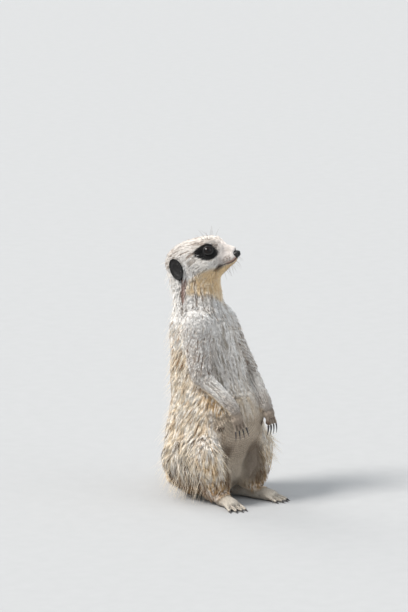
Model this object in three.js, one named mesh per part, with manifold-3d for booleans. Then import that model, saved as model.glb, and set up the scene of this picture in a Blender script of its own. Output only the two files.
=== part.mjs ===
// A life-size adult meerkat, sitting upright on its haunches with its arms hanging in front of its belly,
// its head turned to its left and raised, and its tail laid round behind it on the floor.
//
// Millimetres, +Z up. The animal's breast faces -Y and its left side is +X. The soles, the seat and the
// tail rest on the floor at Z = 0, and the origin is the middle of the whole footprint on the floor.
// Every surface is the outside of the coat. Each part of the body is one solid, and a thin cut parts it
// from its neighbours.

import * as THREE from "three";
import { mergeVertices } from "three/addons/utils/BufferGeometryUtils.js";
import Module from "manifold-3d";

const wasm = await Module();
wasm.setup();

// ---------------------------------------------------------------- driving dimensions

const GAP = 0.35; // clear space at every cut between two parts
const MERGE = 1e-4; // vertices nearer than this are one

const HEAD_PITCH = THREE.MathUtils.degToRad(20); // nose raised
const HEAD_TURN = THREE.MathUtils.degToRad(27); // face turned to the animal's left

const EYE_RADIUS = 5.3;
const EAR_HEIGHT = 22.6;
const EAR_WIDTH = 13.6;
const EAR_WALL = 2.2;
const NOSE_RADII = [4.1, 4.3, 3.4];

const TOES = 4; // on every foot and hand
const TOE_RADIUS = 2.7;
const TOE_LENGTH = 15;
const TOE_SPREAD = 0.12; // radians from one digit to the next
const FOOT_WIDTH = 13; // over the roots of the toes
const FINGER_RADIUS = 2.4;
const FINGER_LENGTH = 10;
const FINGER_SPREAD = 0.09;
const FINGER_DROOP = 0.8; // of each fingertip towards the palm
const HAND_WIDTH = 9.6;
const PALM = { wrist: 6.6, middle: 5, edge: 3.8, halfWidth: 4 };
const HIND_CLAW_LENGTH = 7.5;
const FORE_CLAW_LENGTH = 12;
const CLAW_RADIUS = 1.25;
const CLAW_TIP_RADIUS = 0.35;

const TAIL_ROOT_RADIUS = 13.5;
const TAIL_TIP_RADIUS = 4;

// A point from how far it lies to the animal's left, in front of its spine, and above the floor.
const at = (left, forward, up) => new THREE.Vector3(left, -forward, up);

const UP = at(0, 0, 1);
const FORWARD = at(0, 1, 0);

const SIDES = { right: -1, left: 1 };

// The head's own frame has its origin between the ears and the eyes, level with the middle of the skull.
const HEAD_AT = at(2, -19, 240);

const NECK = { base: at(0, -17, 186), top: at(0, -23, 226), baseRadius: 25.5, topRadius: 22.6 };

// The arms hang in front of the belly and aren't quite alike. Each palm faces the belly.
const ARMS = {
  right: {
    shoulder: at(-26, 5, 176),
    elbow: at(-36.5, 19, 131),
    wrist: at(-20, 48, 101),
    knuckles: at(-17.6, 53, 88),
    palmFaces: at(0.3, -1, 0),
  },
  left: {
    shoulder: at(22.5, -8, 173),
    elbow: at(37, 13.5, 127),
    wrist: at(29.2, 45.8, 97),
    knuckles: at(30, 50.8, 86.5),
    palmFaces: at(-0.1, -1, 0),
  },
};

const HIP = at(25, -13, 40);
const KNEE = at(37, 31, 53);
const ANKLE = at(25, 31, 22);

// The right foot points a little outwards.
const FEET = {
  right: { heel: at(-18, 14, 6.5), instep: at(-26, 42, 7), ball: at(-31.5, 59, 5) },
  left: { heel: at(19, 13, 6.5), instep: at(24, 40, 7), ball: at(26.5, 57, 5) },
};

const TAIL_COURSE = [
  at(0, -28, 24),
  at(2, -44, 14.5),
  at(12, -64, 10.5),
  at(34, -88, 8),
  at(64, -107, 6.8),
  at(96, -117, 5.8),
  at(126, -117, 4.8),
  at(148, -108, 4),
];

// ---------------------------------------------------------------- fields
// A field gives about how far a point lies outside a surface, in millimetres, and is negative inside it.

const copy = (point, side) => new THREE.Vector3(point.x * side, point.y, point.z);

function egg(centre, radii, turn = new THREE.Euler()) {
  const unturn = new THREE.Quaternion().setFromEuler(turn).invert();
  const scaled = new THREE.Vector3();
  const steep = new THREE.Vector3();
  return (point) => {
    scaled.subVectors(point, centre).applyQuaternion(unturn).divide(radii);
    steep.copy(scaled).divide(radii);
    const slope = steep.length();
    return slope < 1e-6 ? -Math.min(...radii) : (scaled.length() * (scaled.length() - 1)) / slope;
  };
}

// Two balls of different size with a straight-sided cone between them.
function taper(start, startRadius, end, endRadius) {
  const axis = new THREE.Vector3().subVectors(end, start);
  const length = axis.length();
  axis.divideScalar(length);
  const sine = (startRadius - endRadius) / length;
  const cosine = Math.sqrt(1 - sine * sine);
  const offset = new THREE.Vector3();
  return (point) => {
    offset.subVectors(point, start);
    const along = offset.dot(axis);
    const out = Math.sqrt(Math.max(0, offset.lengthSq() - along * along));
    const share = along * cosine - out * sine;
    if (share < 0) return Math.hypot(along, out) - startRadius;
    if (share > length * cosine) return Math.hypot(along - length, out) - endRadius;
    return along * sine + out * cosine - startRadius;
  };
}

const meld = (a, b, softness) => {
  const share = Math.max(softness - Math.abs(a - b), 0) / softness;
  return Math.min(a, b) - (share * share * softness) / 4;
};

// Several fields run into each other over a soft crease.
const melt = (softness, first, ...rest) => (point) =>
  rest.reduce((distance, field) => meld(distance, field(point), softness), first(point));

// A soft hollow pressed into a field.
const hollow = (softness, field, tool) => (point) => -meld(-field(point), tool(point), softness);

// ---------------------------------------------------------------- solids

// A closed geometry whose faces may be cut and joined.
function solidFrom(geometry) {
  const bare = new THREE.BufferGeometry().setAttribute("position", geometry.getAttribute("position"));
  bare.setIndex(geometry.index);
  const merged = mergeVertices(bare, MERGE);
  const index = merged.index.array;
  const kept = [];
  for (let i = 0; i < index.length; i += 3) {
    const [a, b, c] = index.slice(i, i + 3);
    if (a !== b && b !== c && c !== a) kept.push(a, b, c);
  }
  const vertProperties = new Float32Array(merged.getAttribute("position").array);
  return new wasm.Manifold(new wasm.Mesh({ numProp: 3, vertProperties, triVerts: new Uint32Array(kept) }));
}

function geometryFrom(solid) {
  const { vertProperties, triVerts } = solid.getMesh();
  const geometry = new THREE.BufferGeometry();
  geometry.setAttribute("position", new THREE.BufferAttribute(vertProperties, 3));
  geometry.setIndex(new THREE.BufferAttribute(triVerts, 1));
  return geometry;
}

// How far from a point, in one direction, a field's surface lies.
function reachOf(field, origin, direction, grow) {
  const MOST_STEPS = 120;
  const HALVINGS = 14;
  const point = new THREE.Vector3();
  const depth = (reach) => field(point.copy(direction).multiplyScalar(reach).add(origin)) - grow;
  let inside = 0;
  let outside = 0.5;
  for (let step = 0; step < MOST_STEPS && depth(outside) < 0; step++) {
    inside = outside;
    outside += Math.max(-0.7 * depth(outside), 0.1);
  }
  for (let i = 0; i < HALVINGS; i++) {
    const middle = (inside + outside) / 2;
    if (depth(middle) < 0) inside = middle;
    else outside = middle;
  }
  return outside;
}

// Lays a capsule's grid of vertices on a field's surface: each is cast outwards from the axis, square to it
// along its length and fanned out round its two ends.
function wrap(field, axis, { around, along, cap, guide = UP }, grow = 0) {
  const grid = new THREE.CapsuleGeometry(1, 1, cap, around, along);
  const position = grid.getAttribute("position");
  const normal = grid.getAttribute("normal");
  const origin = new THREE.Vector3();
  const ahead = new THREE.Vector3();
  for (let i = 0; i < position.count; i++) {
    const share = THREE.MathUtils.clamp(position.getY(i) - normal.getY(i) + 0.5, 0, 1);
    axis.getPointAt(share, origin);
    axis.getTangentAt(share, ahead);
    const side = new THREE.Vector3().crossVectors(guide, ahead).normalize();
    const third = new THREE.Vector3().crossVectors(side, ahead);
    const direction = side
      .multiplyScalar(normal.getX(i))
      .addScaledVector(ahead, normal.getY(i))
      .addScaledVector(third, normal.getZ(i))
      .normalize();
    const spot = direction.multiplyScalar(reachOf(field, origin, direction, grow)).add(origin);
    position.setXYZ(i, ...spot);
  }
  return grid;
}

const line = (...points) =>
  points.length === 2 ? new THREE.LineCurve3(...points) : new THREE.CatmullRomCurve3(points);

// A limb or lump of the body: its solid, and the same solid grown by the gap, which cuts its neighbours.
function lump(field, axis, grid) {
  return { solid: solidFrom(wrap(field, axis, grid)), cutter: solidFrom(wrap(field, axis, grid, GAP)) };
}

const lessAll = (whole, ...others) => others.reduce((rest, other) => rest.subtract(other.cutter), whole.solid);

// The one body that matters of a cut solid, without the crumbs.
const largestOf = (solid) => solid.decompose().reduce((a, b) => (b.volume() > a.volume() ? b : a));

const moved = (geometry, matrix) => geometry.clone().applyMatrix4(matrix);

// Everything above the floor.
const ROOM = 900;
const aboveFloor = solidFrom(new THREE.BoxGeometry(ROOM, ROOM, ROOM).translate(0, 0, ROOM / 2));

// Everything on one side of the animal's middle.
const halfRoom = (side) =>
  solidFrom(new THREE.BoxGeometry(ROOM, ROOM, ROOM).translate((side * (ROOM + GAP)) / 2, 0, 0));

// ---------------------------------------------------------------- materials

const paint = (color, roughness) => new THREE.MeshStandardMaterial({ color, roughness, metalness: 0 });
const materials = {
  coat: paint(0xb5a48c, 0.95),
  faceCoat: paint(0xc9c2b4, 0.95),
  ear: paint(0x1c1715, 0.9),
  tailTip: paint(0x2a211b, 0.95),
  nose: paint(0x231a18, 0.45),
  eye: paint(0x120d0b, 0.08),
  claw: paint(0x3a302a, 0.4),
};

// A named mesh that hangs on its own pivot, given in the same frame as the solid.
function piece(name, solid, material, pivot) {
  const geometry = geometryFrom(largestOf(solid)).translate(-pivot.x, -pivot.y, -pivot.z);
  const mesh = new THREE.Mesh(geometry, material);
  mesh.name = name;
  mesh.position.copy(pivot);
  return mesh;
}

// ---------------------------------------------------------------- trunk

function trunkLump() {
  const pelvis = egg(at(0, -8, 33), at(40, -40, 34.5));
  const loin = egg(at(0, -6, 60), at(42, -42, 32));
  const belly = egg(at(3.5, 4.5, 80), at(47, -48, 44));
  const ribs = egg(at(0, -6, 124), at(37, -38, 46));
  const shoulders = egg(at(0, -15, 168), at(32.5, -32, 35));
  const tailRoot = egg(at(-2, -46, 17), at(13, -16, 11));
  const spine = line(at(0, -8, 24), at(0, -2, 80), at(0, -6, 130), at(0, -14, 174));
  return lump(melt(12, pelvis, loin, belly, ribs, shoulders, tailRoot), spine, {
    around: 18,
    along: 10,
    cap: 3,
    guide: FORWARD,
  });
}

function neckLump() {
  const { base, top, baseRadius, topRadius } = NECK;
  const nape = egg(at(0, -28.5, 219), at(20, -24, 25));
  return lump(melt(8, taper(base, baseRadius, top, topRadius), nape), line(base, top), {
    around: 14,
    along: 3,
    cap: 2,
    guide: FORWARD,
  });
}

// ---------------------------------------------------------------- head, in its own frame

const EYE_AT = at(12.6, 14.8, 5);
const EAR_AT = at(23.8, -18.5, -2.2);
const EAR_SET = new THREE.Euler(-0.2, -0.12, 0.4, "ZXY");
const NOSE_AT = at(0, 37.9, -7);

function headField() {
  const paired = (make) => Object.values(SIDES).map((side) => make(side));
  const skull = egg(at(0, -7, 1.4), at(24, -30, 19.6));
  const forehead = egg(at(0, 12.2, 5.2), at(16.8, -16.8, 13.4));
  const jaw = egg(at(0, 0, -12), at(17.5, -21, 13));
  const bridge = taper(at(0, 24, 2.6), 5.2, at(0, 36.6, -1.9), 3.8);
  const muzzle = taper(at(0, 18, -5), 11.6, at(0, 33, -7.4), 6);
  const chin = taper(at(0, 12, -15), 8.6, at(0, 31.5, -12.5), 3.6);
  const cheeks = paired((side) => egg(at(15 * side, 0, -7.5), at(10, -17, 12)));
  const brows = paired((side) => egg(at(9.5 * side, 16, 8.6), at(7, -8.5, 5)));
  const whiskerPads = paired((side) => egg(at(4.6 * side, 30.5, -9.6), at(4.8, -6.5, 4.4)));
  const sockets = paired((side) => egg(at(19.5 * side, 20, 4.6), at(6.5, -7.5, 6)));
  const front = melt(4, muzzle, bridge, chin, ...whiskerPads);
  const whole = melt(7, front, skull, forehead, jaw, ...cheeks, ...brows);
  return sockets.reduce((field, socket) => hollow(4, field, socket), whole);
}

function headLump() {
  const axis = line(at(0, -18, 0), at(0, 12, -2), at(0, 33, -8));
  return lump(headField(), axis, { around: 22, along: 16, cap: 4 });
}

function ballLump(centre, radii, across, down) {
  const ball = (grow) =>
    solidFrom(
      new THREE.SphereGeometry(1, across, down)
        .scale(radii.x + grow, Math.abs(radii.y) + grow, radii.z + grow)
        .translate(...centre),
    );
  return { solid: ball(0), cutter: ball(GAP) };
}

const eyeLump = (side) => ballLump(copy(EYE_AT, side), at(EYE_RADIUS, EYE_RADIUS, EYE_RADIUS), 10, 8);
const noseLump = () => ballLump(NOSE_AT, at(...NOSE_RADII), 9, 6);

// A rounded cup, open to the front and the side, that stands off behind the cheek.
function earSolid(side) {
  const cup = (width, wall) =>
    new THREE.SphereGeometry(1, 9, 7).scale(wall, width / 2, EAR_HEIGHT / 2 - (EAR_WIDTH - width) / 2);
  const BOWL_SHIFT = 3.4;
  const shell = solidFrom(cup(EAR_WIDTH, EAR_WALL + 1.6));
  const bowl = solidFrom(cup(EAR_WIDTH - 2.6, EAR_WALL + 1).translate(BOWL_SHIFT, -1, 0));
  const place = new THREE.Matrix4().compose(
    EAR_AT,
    new THREE.Quaternion().setFromEuler(EAR_SET),
    new THREE.Vector3(1, 1, 1),
  );
  const left = moved(geometryFrom(shell.subtract(bowl)), place);
  return solidFrom(side > 0 ? left : mirrored(left));
}

// The same geometry seen in a mirror across the animal's middle.
function mirrored(geometry) {
  const result = geometry.clone().scale(-1, 1, 1);
  const index = result.index.array;
  for (let i = 0; i < index.length; i += 3) [index[i], index[i + 1]] = [index[i + 1], index[i]];
  return result;
}

// ---------------------------------------------------------------- limbs

const limbGrid = { around: 12, along: 3, cap: 2 };

function armLumps(name) {
  const { shoulder, elbow, wrist, knuckles, palmFaces } = ARMS[name];
  const upper = melt(6, taper(shoulder, 14.5, elbow, 10.5), egg(shoulder, at(14, -17, 20)));
  const fore = taper(elbow, 9.6, wrist, 6.9);
  return {
    upper: lump(upper, line(shoulder, elbow), limbGrid),
    fore: lump(fore, line(elbow, wrist), limbGrid),
    hand: handLump(wrist, knuckles, palmFaces.clone().normalize()),
  };
}

// The directions in which a hand's or foot's digits leave it, spread like a fan about its own direction.
function fan(direction, flatNormal, spread) {
  return Array.from({ length: TOES }, (_, i) =>
    direction.clone().applyAxisAngle(flatNormal, spread * ((TOES - 1) / 2 - i)),
  );
}

function digitRoots(centre, direction, flatNormal, width) {
  const across = new THREE.Vector3().crossVectors(flatNormal, direction).normalize();
  return Array.from({ length: TOES }, (_, i) =>
    centre.clone().addScaledVector(across, width * (0.5 - i / (TOES - 1))),
  );
}

const joined = (solids) => solids.reduce((whole, next) => whole.add(next));

// A palm or sole with its digits, and the claws that end them.
function pawLump(base, digits, claw) {
  const make = (grow) =>
    joined([
      solidFrom(wrap(base.field, base.axis, base.grid, grow)),
      ...digits.map(({ root, tip, radius }) =>
        solidFrom(
          wrap(taper(root, radius, tip, radius * 0.8), line(root, tip), { around: 6, along: 1, cap: 2 }, grow),
        ),
      ),
    ]);
  return {
    solid: make(0),
    cutter: make(GAP),
    claws: digits.map(({ root, tip, radius }) => clawSolid(root, tip, radius, claw)),
  };
}

// A claw is a thin horn that bends away from its digit's back. The bend guides its grid, because a claw that
// hangs down points along UP somewhere on its way, where a grid guided by UP would turn over.
function clawSolid(root, tip, radius, { length, bend }) {
  const ahead = new THREE.Vector3().subVectors(tip, root).normalize();
  const start = tip.clone().addScaledVector(ahead, radius * 0.3);
  const middle = start.clone().addScaledVector(ahead, length * 0.55).addScaledVector(bend, length * 0.1);
  const end = start.clone().addScaledVector(ahead, length * 0.95).addScaledVector(bend, length * 0.42);
  const axis = new THREE.QuadraticBezierCurve3(start, middle, end);
  const STEPS = 4;
  const beads = Array.from({ length: STEPS + 1 }, (_, i) => i / STEPS);
  const radii = beads.map((share) => THREE.MathUtils.lerp(CLAW_RADIUS, CLAW_TIP_RADIUS, share));
  const points = beads.map((share) => axis.getPoint(share));
  const horn = melt(0.4, ...points.slice(1).map((p, i) => taper(points[i], radii[i], p, radii[i + 1])));
  return { solid: solidFrom(wrap(horn, axis, { around: 5, along: 2, cap: 1, guide: bend })), start };
}

function handLump(wrist, knuckles, palmFaces) {
  const direction = new THREE.Vector3().subVectors(knuckles, wrist).normalize();
  const back = palmFaces.clone().negate();
  const roots = digitRoots(knuckles, direction, back, HAND_WIDTH);
  const ways = fan(direction, back, FINGER_SPREAD);
  const digits = roots.map((root, i) => ({
    root,
    tip: root.clone().addScaledVector(ways[i], FINGER_LENGTH).addScaledVector(palmFaces, FINGER_DROOP),
    radius: FINGER_RADIUS,
  }));
  const across = new THREE.Vector3().crossVectors(back, direction);
  const palm = melt(
    4,
    taper(wrist, PALM.wrist, knuckles, PALM.middle),
    taper(
      knuckles.clone().addScaledVector(across, PALM.halfWidth),
      PALM.edge,
      knuckles.clone().addScaledVector(across, -PALM.halfWidth),
      PALM.edge,
    ),
  );
  const base = { field: palm, axis: line(wrist, knuckles), grid: { around: 10, along: 3, cap: 2 } };
  return pawLump(base, digits, { length: FORE_CLAW_LENGTH, bend: palmFaces });
}

function legLumps(name) {
  const side = SIDES[name];
  const hip = copy(HIP, side);
  const knee = copy(KNEE, side);
  const ankle = copy(ANKLE, side);
  const thigh = melt(8, taper(hip, 23.5, knee, 15), egg(copy(at(29, 3, 40), side), at(18.5, -31, 30)));
  const shin = taper(knee, 14, ankle, 16.5);
  return {
    thigh: lump(thigh, line(hip, knee), { around: 14, along: 5, cap: 3 }),
    shin: lump(shin, line(knee, ankle), { around: 12, along: 3, cap: 2 }),
    foot: footLump(FEET[name]),
  };
}

function footLump({ heel, instep, ball }) {
  const direction = new THREE.Vector3().subVectors(ball, instep).setZ(0).normalize();
  const roots = digitRoots(ball, direction, UP, FOOT_WIDTH);
  const ways = fan(direction, UP, TOE_SPREAD);
  const digits = roots.map((root, i) => ({
    root,
    tip: root
      .clone()
      .addScaledVector(ways[i], TOE_LENGTH * (i === 0 || i === TOES - 1 ? 0.82 : 1))
      .setZ(TOE_RADIUS * 0.7),
    radius: TOE_RADIUS,
  }));
  const sole = melt(6, taper(heel, 6.8, instep, 7), taper(instep, 7, ball, 5.2), egg(ball, at(8.6, -9, 4.6)));
  const base = { field: sole, axis: line(heel, instep, ball), grid: { around: 10, along: 5, cap: 2 } };
  return pawLump(base, digits, { length: HIND_CLAW_LENGTH, bend: UP.clone().negate() });
}

// ---------------------------------------------------------------- tail

function tailLumps() {
  const LENGTHS = ["base", "middle", "tip"];
  const BEADS = 22;
  const course = new THREE.CatmullRomCurve3(TAIL_COURSE);
  const radiusAt = (share) => THREE.MathUtils.lerp(TAIL_ROOT_RADIUS, TAIL_TIP_RADIUS, Math.pow(share, 0.62));
  const links = Array.from({ length: BEADS }, (_, i) => {
    const [start, end] = [i / BEADS, (i + 1) / BEADS];
    return taper(course.getPointAt(start), radiusAt(start), course.getPointAt(end), radiusAt(end));
  });
  const whole = melt(2, ...links);
  const tail = solidFrom(wrap(whole, course, { around: 8, along: 15, cap: 2 }));
  const cuts = [0, 0.34, 0.72, 1];
  return LENGTHS.map((name, i) => ({
    name,
    pivot: course.getPointAt(cuts[i]),
    solid: tail.intersect(slabBetween(course, cuts[i], cuts[i + 1])),
  }));
}

// The room between two planes square to a curve, each drawn back by half the gap.
function slabBetween(course, from, to) {
  const half = (share, way) => {
    const box = new THREE.BoxGeometry(ROOM, ROOM, ROOM).translate(0, way * (ROOM / 2 + GAP / 2), 0);
    const turn = new THREE.Quaternion().setFromUnitVectors(
      new THREE.Vector3(0, 1, 0),
      course.getTangentAt(share),
    );
    return solidFrom(
      moved(box, new THREE.Matrix4().compose(course.getPointAt(share), turn, new THREE.Vector3(1, 1, 1))),
    );
  };
  const ends = [];
  if (from > 0) ends.push(half(from, 1));
  if (to < 1) ends.push(half(to, -1));
  return ends.reduce((room, end) => room.intersect(end));
}

// ---------------------------------------------------------------- the whole animal

function buildHead(neck, trunk) {
  const group = new THREE.Group();
  group.position.copy(HEAD_AT);
  group.rotation.set(-HEAD_PITCH, 0, HEAD_TURN, "ZXY");
  group.updateMatrix();
  const head = headLump();
  const inHead = (solid) => solidFrom(moved(geometryFrom(solid), group.matrix.clone().invert()));
  const collarCutter = inHead(neck.cutter);
  const nose = noseLump();
  const eyes = Object.fromEntries(Object.entries(SIDES).map(([name, side]) => [name, eyeLump(side)]));
  const skull = lessAll(head, nose, ...Object.values(eyes));
  group.add(piece("head", skull, materials.faceCoat, at(0, 0, 0)));
  group.add(piece("nose", nose.solid, materials.nose, NOSE_AT));
  for (const [name, side] of Object.entries(SIDES)) {
    group.add(piece(`eye_${name}`, eyes[name].solid, materials.eye, copy(EYE_AT, side)));
    const ear = earSolid(side).subtract(head.cutter).subtract(collarCutter);
    group.add(piece(`ear_${name}`, ear, materials.ear, copy(EAR_AT, side)));
  }
  const headCutter = { cutter: solidFrom(moved(geometryFrom(head.cutter), group.matrix)) };
  const collar = lessAll(neck, headCutter, trunk);
  return { group, collar };
}

function buildAnimal() {
  const animal = new THREE.Group();
  const trunk = trunkLump();
  const neck = neckLump();
  const { group: head, collar } = buildHead(neck, trunk);
  animal.add(head);
  animal.add(piece("neck", collar, materials.coat, NECK.base));

  const limbs = [];
  for (const [name, side] of Object.entries(SIDES)) {
    const arm = armLumps(name);
    const leg = legLumps(name);
    const { shoulder, elbow, wrist } = ARMS[name];
    animal.add(piece(`upper_arm_${name}`, lessAll(arm.upper, neck), materials.coat, shoulder));
    const forearm = lessAll(arm.fore, arm.upper, trunk);
    animal.add(piece(`forearm_${name}`, forearm, materials.coat, elbow));
    const hand = lessAll(arm.hand, arm.fore, trunk, leg.thigh);
    animal.add(piece(`hand_${name}`, hand, materials.coat, wrist));
    const thigh = leg.thigh.solid.intersect(aboveFloor).intersect(halfRoom(side));
    animal.add(piece(`thigh_${name}`, thigh, materials.coat, copy(HIP, side)));
    const shin = lessAll(leg.shin, leg.thigh).intersect(aboveFloor);
    animal.add(piece(`lower_leg_${name}`, shin, materials.coat, copy(KNEE, side)));
    const foot = lessAll(leg.foot, leg.shin, leg.thigh, trunk).intersect(aboveFloor);
    animal.add(piece(`foot_${name}`, foot, materials.coat, FEET[name].heel));
    arm.hand.claws.forEach(({ solid, start }, i) => {
      const claw = solid.subtract(arm.hand.cutter).subtract(trunk.cutter).subtract(leg.thigh.cutter);
      animal.add(piece(`claw_hand_${name}_${i + 1}`, claw, materials.claw, start));
    });
    leg.foot.claws.forEach(({ solid, start }, i) => {
      const claw = solid.subtract(leg.foot.cutter).intersect(aboveFloor);
      animal.add(piece(`claw_foot_${name}_${i + 1}`, claw, materials.claw, start));
    });
    limbs.push(arm.upper, leg.thigh, leg.shin);
  }

  const body = lessAll(trunk, ...limbs).intersect(aboveFloor);
  animal.add(piece("trunk", body, materials.coat, at(0, 0, 0)));
  for (const { name, pivot, solid } of tailLumps()) {
    const length = solid.subtract(trunk.cutter).intersect(aboveFloor);
    animal.add(piece(`tail_${name}`, length, name === "tip" ? materials.tailTip : materials.coat, pivot));
  }
  return animal;
}

// Stands the animal with the middle of its footprint at the origin.
const meerkat = new THREE.Group();
const animal = buildAnimal();
const middle = new THREE.Box3().setFromObject(animal).getCenter(new THREE.Vector3());
animal.position.set(-middle.x, -middle.y, 0);
meerkat.add(animal);

export default meerkat;
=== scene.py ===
"""A life-size meerkat for a museum: the skin, coat, ears, eyes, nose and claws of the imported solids.

Lengths are millimetres until a mesh is made. A place on the body is told as (left, forward, up) of the
point on the floor under the spine, and a place on the head as (left, forward, up) of the head's own middle.
"""

import bmesh
import bpy
import numpy as np
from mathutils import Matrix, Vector
from mathutils.bvhtree import BVHTree
from mathutils.kdtree import KDTree


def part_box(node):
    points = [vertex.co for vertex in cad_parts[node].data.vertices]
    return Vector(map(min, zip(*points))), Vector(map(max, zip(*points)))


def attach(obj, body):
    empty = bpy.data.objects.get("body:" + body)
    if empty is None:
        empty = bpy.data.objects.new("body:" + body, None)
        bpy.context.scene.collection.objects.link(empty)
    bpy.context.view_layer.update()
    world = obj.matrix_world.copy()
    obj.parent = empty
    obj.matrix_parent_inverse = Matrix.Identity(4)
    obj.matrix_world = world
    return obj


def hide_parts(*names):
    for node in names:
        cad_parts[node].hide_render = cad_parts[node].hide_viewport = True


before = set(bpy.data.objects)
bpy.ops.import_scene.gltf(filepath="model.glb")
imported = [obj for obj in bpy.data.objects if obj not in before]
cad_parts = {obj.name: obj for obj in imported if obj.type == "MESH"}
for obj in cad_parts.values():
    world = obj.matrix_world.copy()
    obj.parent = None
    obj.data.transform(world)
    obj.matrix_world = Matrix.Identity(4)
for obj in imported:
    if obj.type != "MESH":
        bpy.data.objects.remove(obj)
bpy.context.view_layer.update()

MM = 0.001
SEED = 11
random = np.random.default_rng(SEED)

# ------------------------------------------------------------------ the animal's own measures

HEAD_PITCH = np.radians(20)
HEAD_TURN = np.radians(27)
HEAD_AT = (2, -19, 240)
EYE_AT = (12.6, 14.8, 5)
EYE_RADIUS = 5.3
EYE_LOOK = (0.83, 0.53, 0.16)
EAR_AT = (23.8, -18.5, -2.2)
EAR_TURNS = (0.4, -0.2, -0.12)  # about the ear's own z, x and y
NOSE_AT = (0, 37.9, -7)
NOSE_RADII = (4.6, 4.7, 3.9)

ARMS = {
    -1: {
        "shoulder": (-26, 5, 176),
        "elbow": (-36.5, 19, 131),
        "wrist": (-20, 48, 101),
        "knuckles": (-17.6, 53, 88),
    },
    1: {
        "shoulder": (22.5, -8, 173),
        "elbow": (37, 13.5, 127),
        "wrist": (29.2, 45.8, 97),
        "knuckles": (30, 50.8, 86.5),
    },
}
FEET = {
    -1: {"heel": (-18, 14, 6.5), "instep": (-26, 42, 7), "ball": (-31.5, 59, 5)},
    1: {"heel": (19, 13, 6.5), "instep": (24, 40, 7), "ball": (26.5, 57, 5)},
}
TAIL_COURSE = [
    (0, -28, 24),
    (2, -44, 14.5),
    (12, -64, 10.5),
    (34, -88, 8),
    (64, -107, 6.8),
    (96, -117, 5.8),
    (126, -117, 4.8),
    (148, -108, 4),
]

SIDE_NAMES = {-1: "right", 1: "left"}
FLESH = ["trunk", "neck", "head", "tail_base", "tail_middle", "tail_tip"] + [
    f"{part}_{side}"
    for part in ("upper_arm", "forearm", "hand", "thigh", "lower_leg", "foot")
    for side in SIDE_NAMES.values()
]


def turn_about(axis, angle):
    cosine, sine = np.cos(angle), np.sin(angle)
    matrix = np.eye(3)
    first, second = (axis + 1) % 3, (axis + 2) % 3
    matrix[first, first] = matrix[second, second] = cosine
    matrix[first, second], matrix[second, first] = -sine, sine
    return matrix


def flip(places):
    """(left, forward, up) to the frame's axes, and back."""
    return np.asarray(places, float) * (1, -1, 1)


def node_middle(node):
    low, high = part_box(node)
    return (np.array(low) + np.array(high)) / 2 / MM


HEAD_AXES = turn_about(2, HEAD_TURN) @ turn_about(0, -HEAD_PITCH)
EAR_AXES = turn_about(2, EAR_TURNS[0]) @ turn_about(0, EAR_TURNS[1]) @ turn_about(1, EAR_TURNS[2])
EYES_MIDDLE = (node_middle("eye_right") + node_middle("eye_left")) / 2
ORIGIN = EYES_MIDDLE - flip(HEAD_AT) - HEAD_AXES @ flip((0, *EYE_AT[1:]))
HEAD_ORIGIN = ORIGIN + flip(HEAD_AT)


def at(places):
    return ORIGIN + flip(places)


def in_head(places):
    return HEAD_ORIGIN + flip(places) @ HEAD_AXES.T


def way_in_head(way):
    return HEAD_AXES @ flip(way)


def body_measure(points):
    return flip(points - ORIGIN)


def head_measure(points):
    return flip((points - HEAD_ORIGIN) @ HEAD_AXES)


def mirrored(head):
    """Places on the head, all on its left side."""
    return np.abs(head) * (1, 0, 0) + head * (0, 1, 1)


def unit(vectors):
    vectors = np.asarray(vectors, float)
    return vectors / np.maximum(np.linalg.norm(vectors, axis=-1, keepdims=True), 1e-9)


def ease(start, end, value):
    share = np.clip((value - start) / (end - start), 0, 1)
    return share * share * (3 - 2 * share)


def to_segment(points, start, end):
    """How far points lie from a segment, and their share along it, not held to its ends."""
    start, end = np.asarray(start, float), np.asarray(end, float)
    axis = end - start
    share = (points - start) @ axis / (axis @ axis)
    nearest = start + np.clip(share, 0, 1)[:, None] * axis
    return np.linalg.norm(points - nearest, axis=1), share


def to_line(points, line):
    return np.min([to_segment(points, a, b)[0] for a, b in zip(line, line[1:])], axis=0)


def grain(points, size, seed):
    """Soft noise from -1 to 1 whose lumps are about size across."""
    cells = points / size + 500.37
    base = np.floor(cells).astype(np.int64)
    share = cells - base
    share = share * share * (3 - 2 * share)
    total = np.zeros(len(points))
    for corner in np.ndindex(2, 2, 2):
        spot = base + corner
        mixed = spot[:, 0] * 73856093 ^ spot[:, 1] * 19349663 ^ spot[:, 2] * 83492791 ^ seed * 2654435761
        mixed = (mixed ^ (mixed >> 13)) * 1274126177 & 0x7FFFFFFF
        value = (mixed ^ (mixed >> 16)) % 65536 / 32767.5 - 1
        total += value * np.prod(np.where(corner, share, 1 - share), axis=1)
    return total


def shade(text):
    """A colour written as its usual hex text, as linear light."""
    values = np.array([int(text[i : i + 2], 16) for i in (1, 3, 5)]) / 255
    return np.where(values <= 0.04045, values / 12.92, ((values + 0.055) / 1.055) ** 2.4)


# ------------------------------------------------------------------ the coat, region by region

WHITE = shade("#fffdfa")
PALE = shade("#f7f2ec")
GREY = shade("#e3e0dc")
CREAM = shade("#fdeed6")
BUFF = shade("#f3d8ae")
TAN = shade("#e2d3bf")
GOLD = shade("#f5d6a4")
ORANGE = shade("#deab71")
RUST = shade("#96583a")
LIGHT_BROWN = shade("#a88560")
BROWN = shade("#7d5f44")
GREY_BROWN = shade("#857566")
DARK_BROWN = shade("#4d3726")
BLACK = shade("#100d0c")
GREY_TAN = shade("#c0b6a8")
HAND_BROWN = shade("#a08f7f")
JAW = shade("#fbe0b4")
HAIR_BROWN = shade("#6b5a4c")
CROWN_GREY = shade("#e2dad2")
MUZZLE_GREY = shade("#dbd3cd")
# Painted shade: the brown that darkens the low haunch and rump.
PAINTED_SHADE_BROWN = shade("#8f7459")

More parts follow.
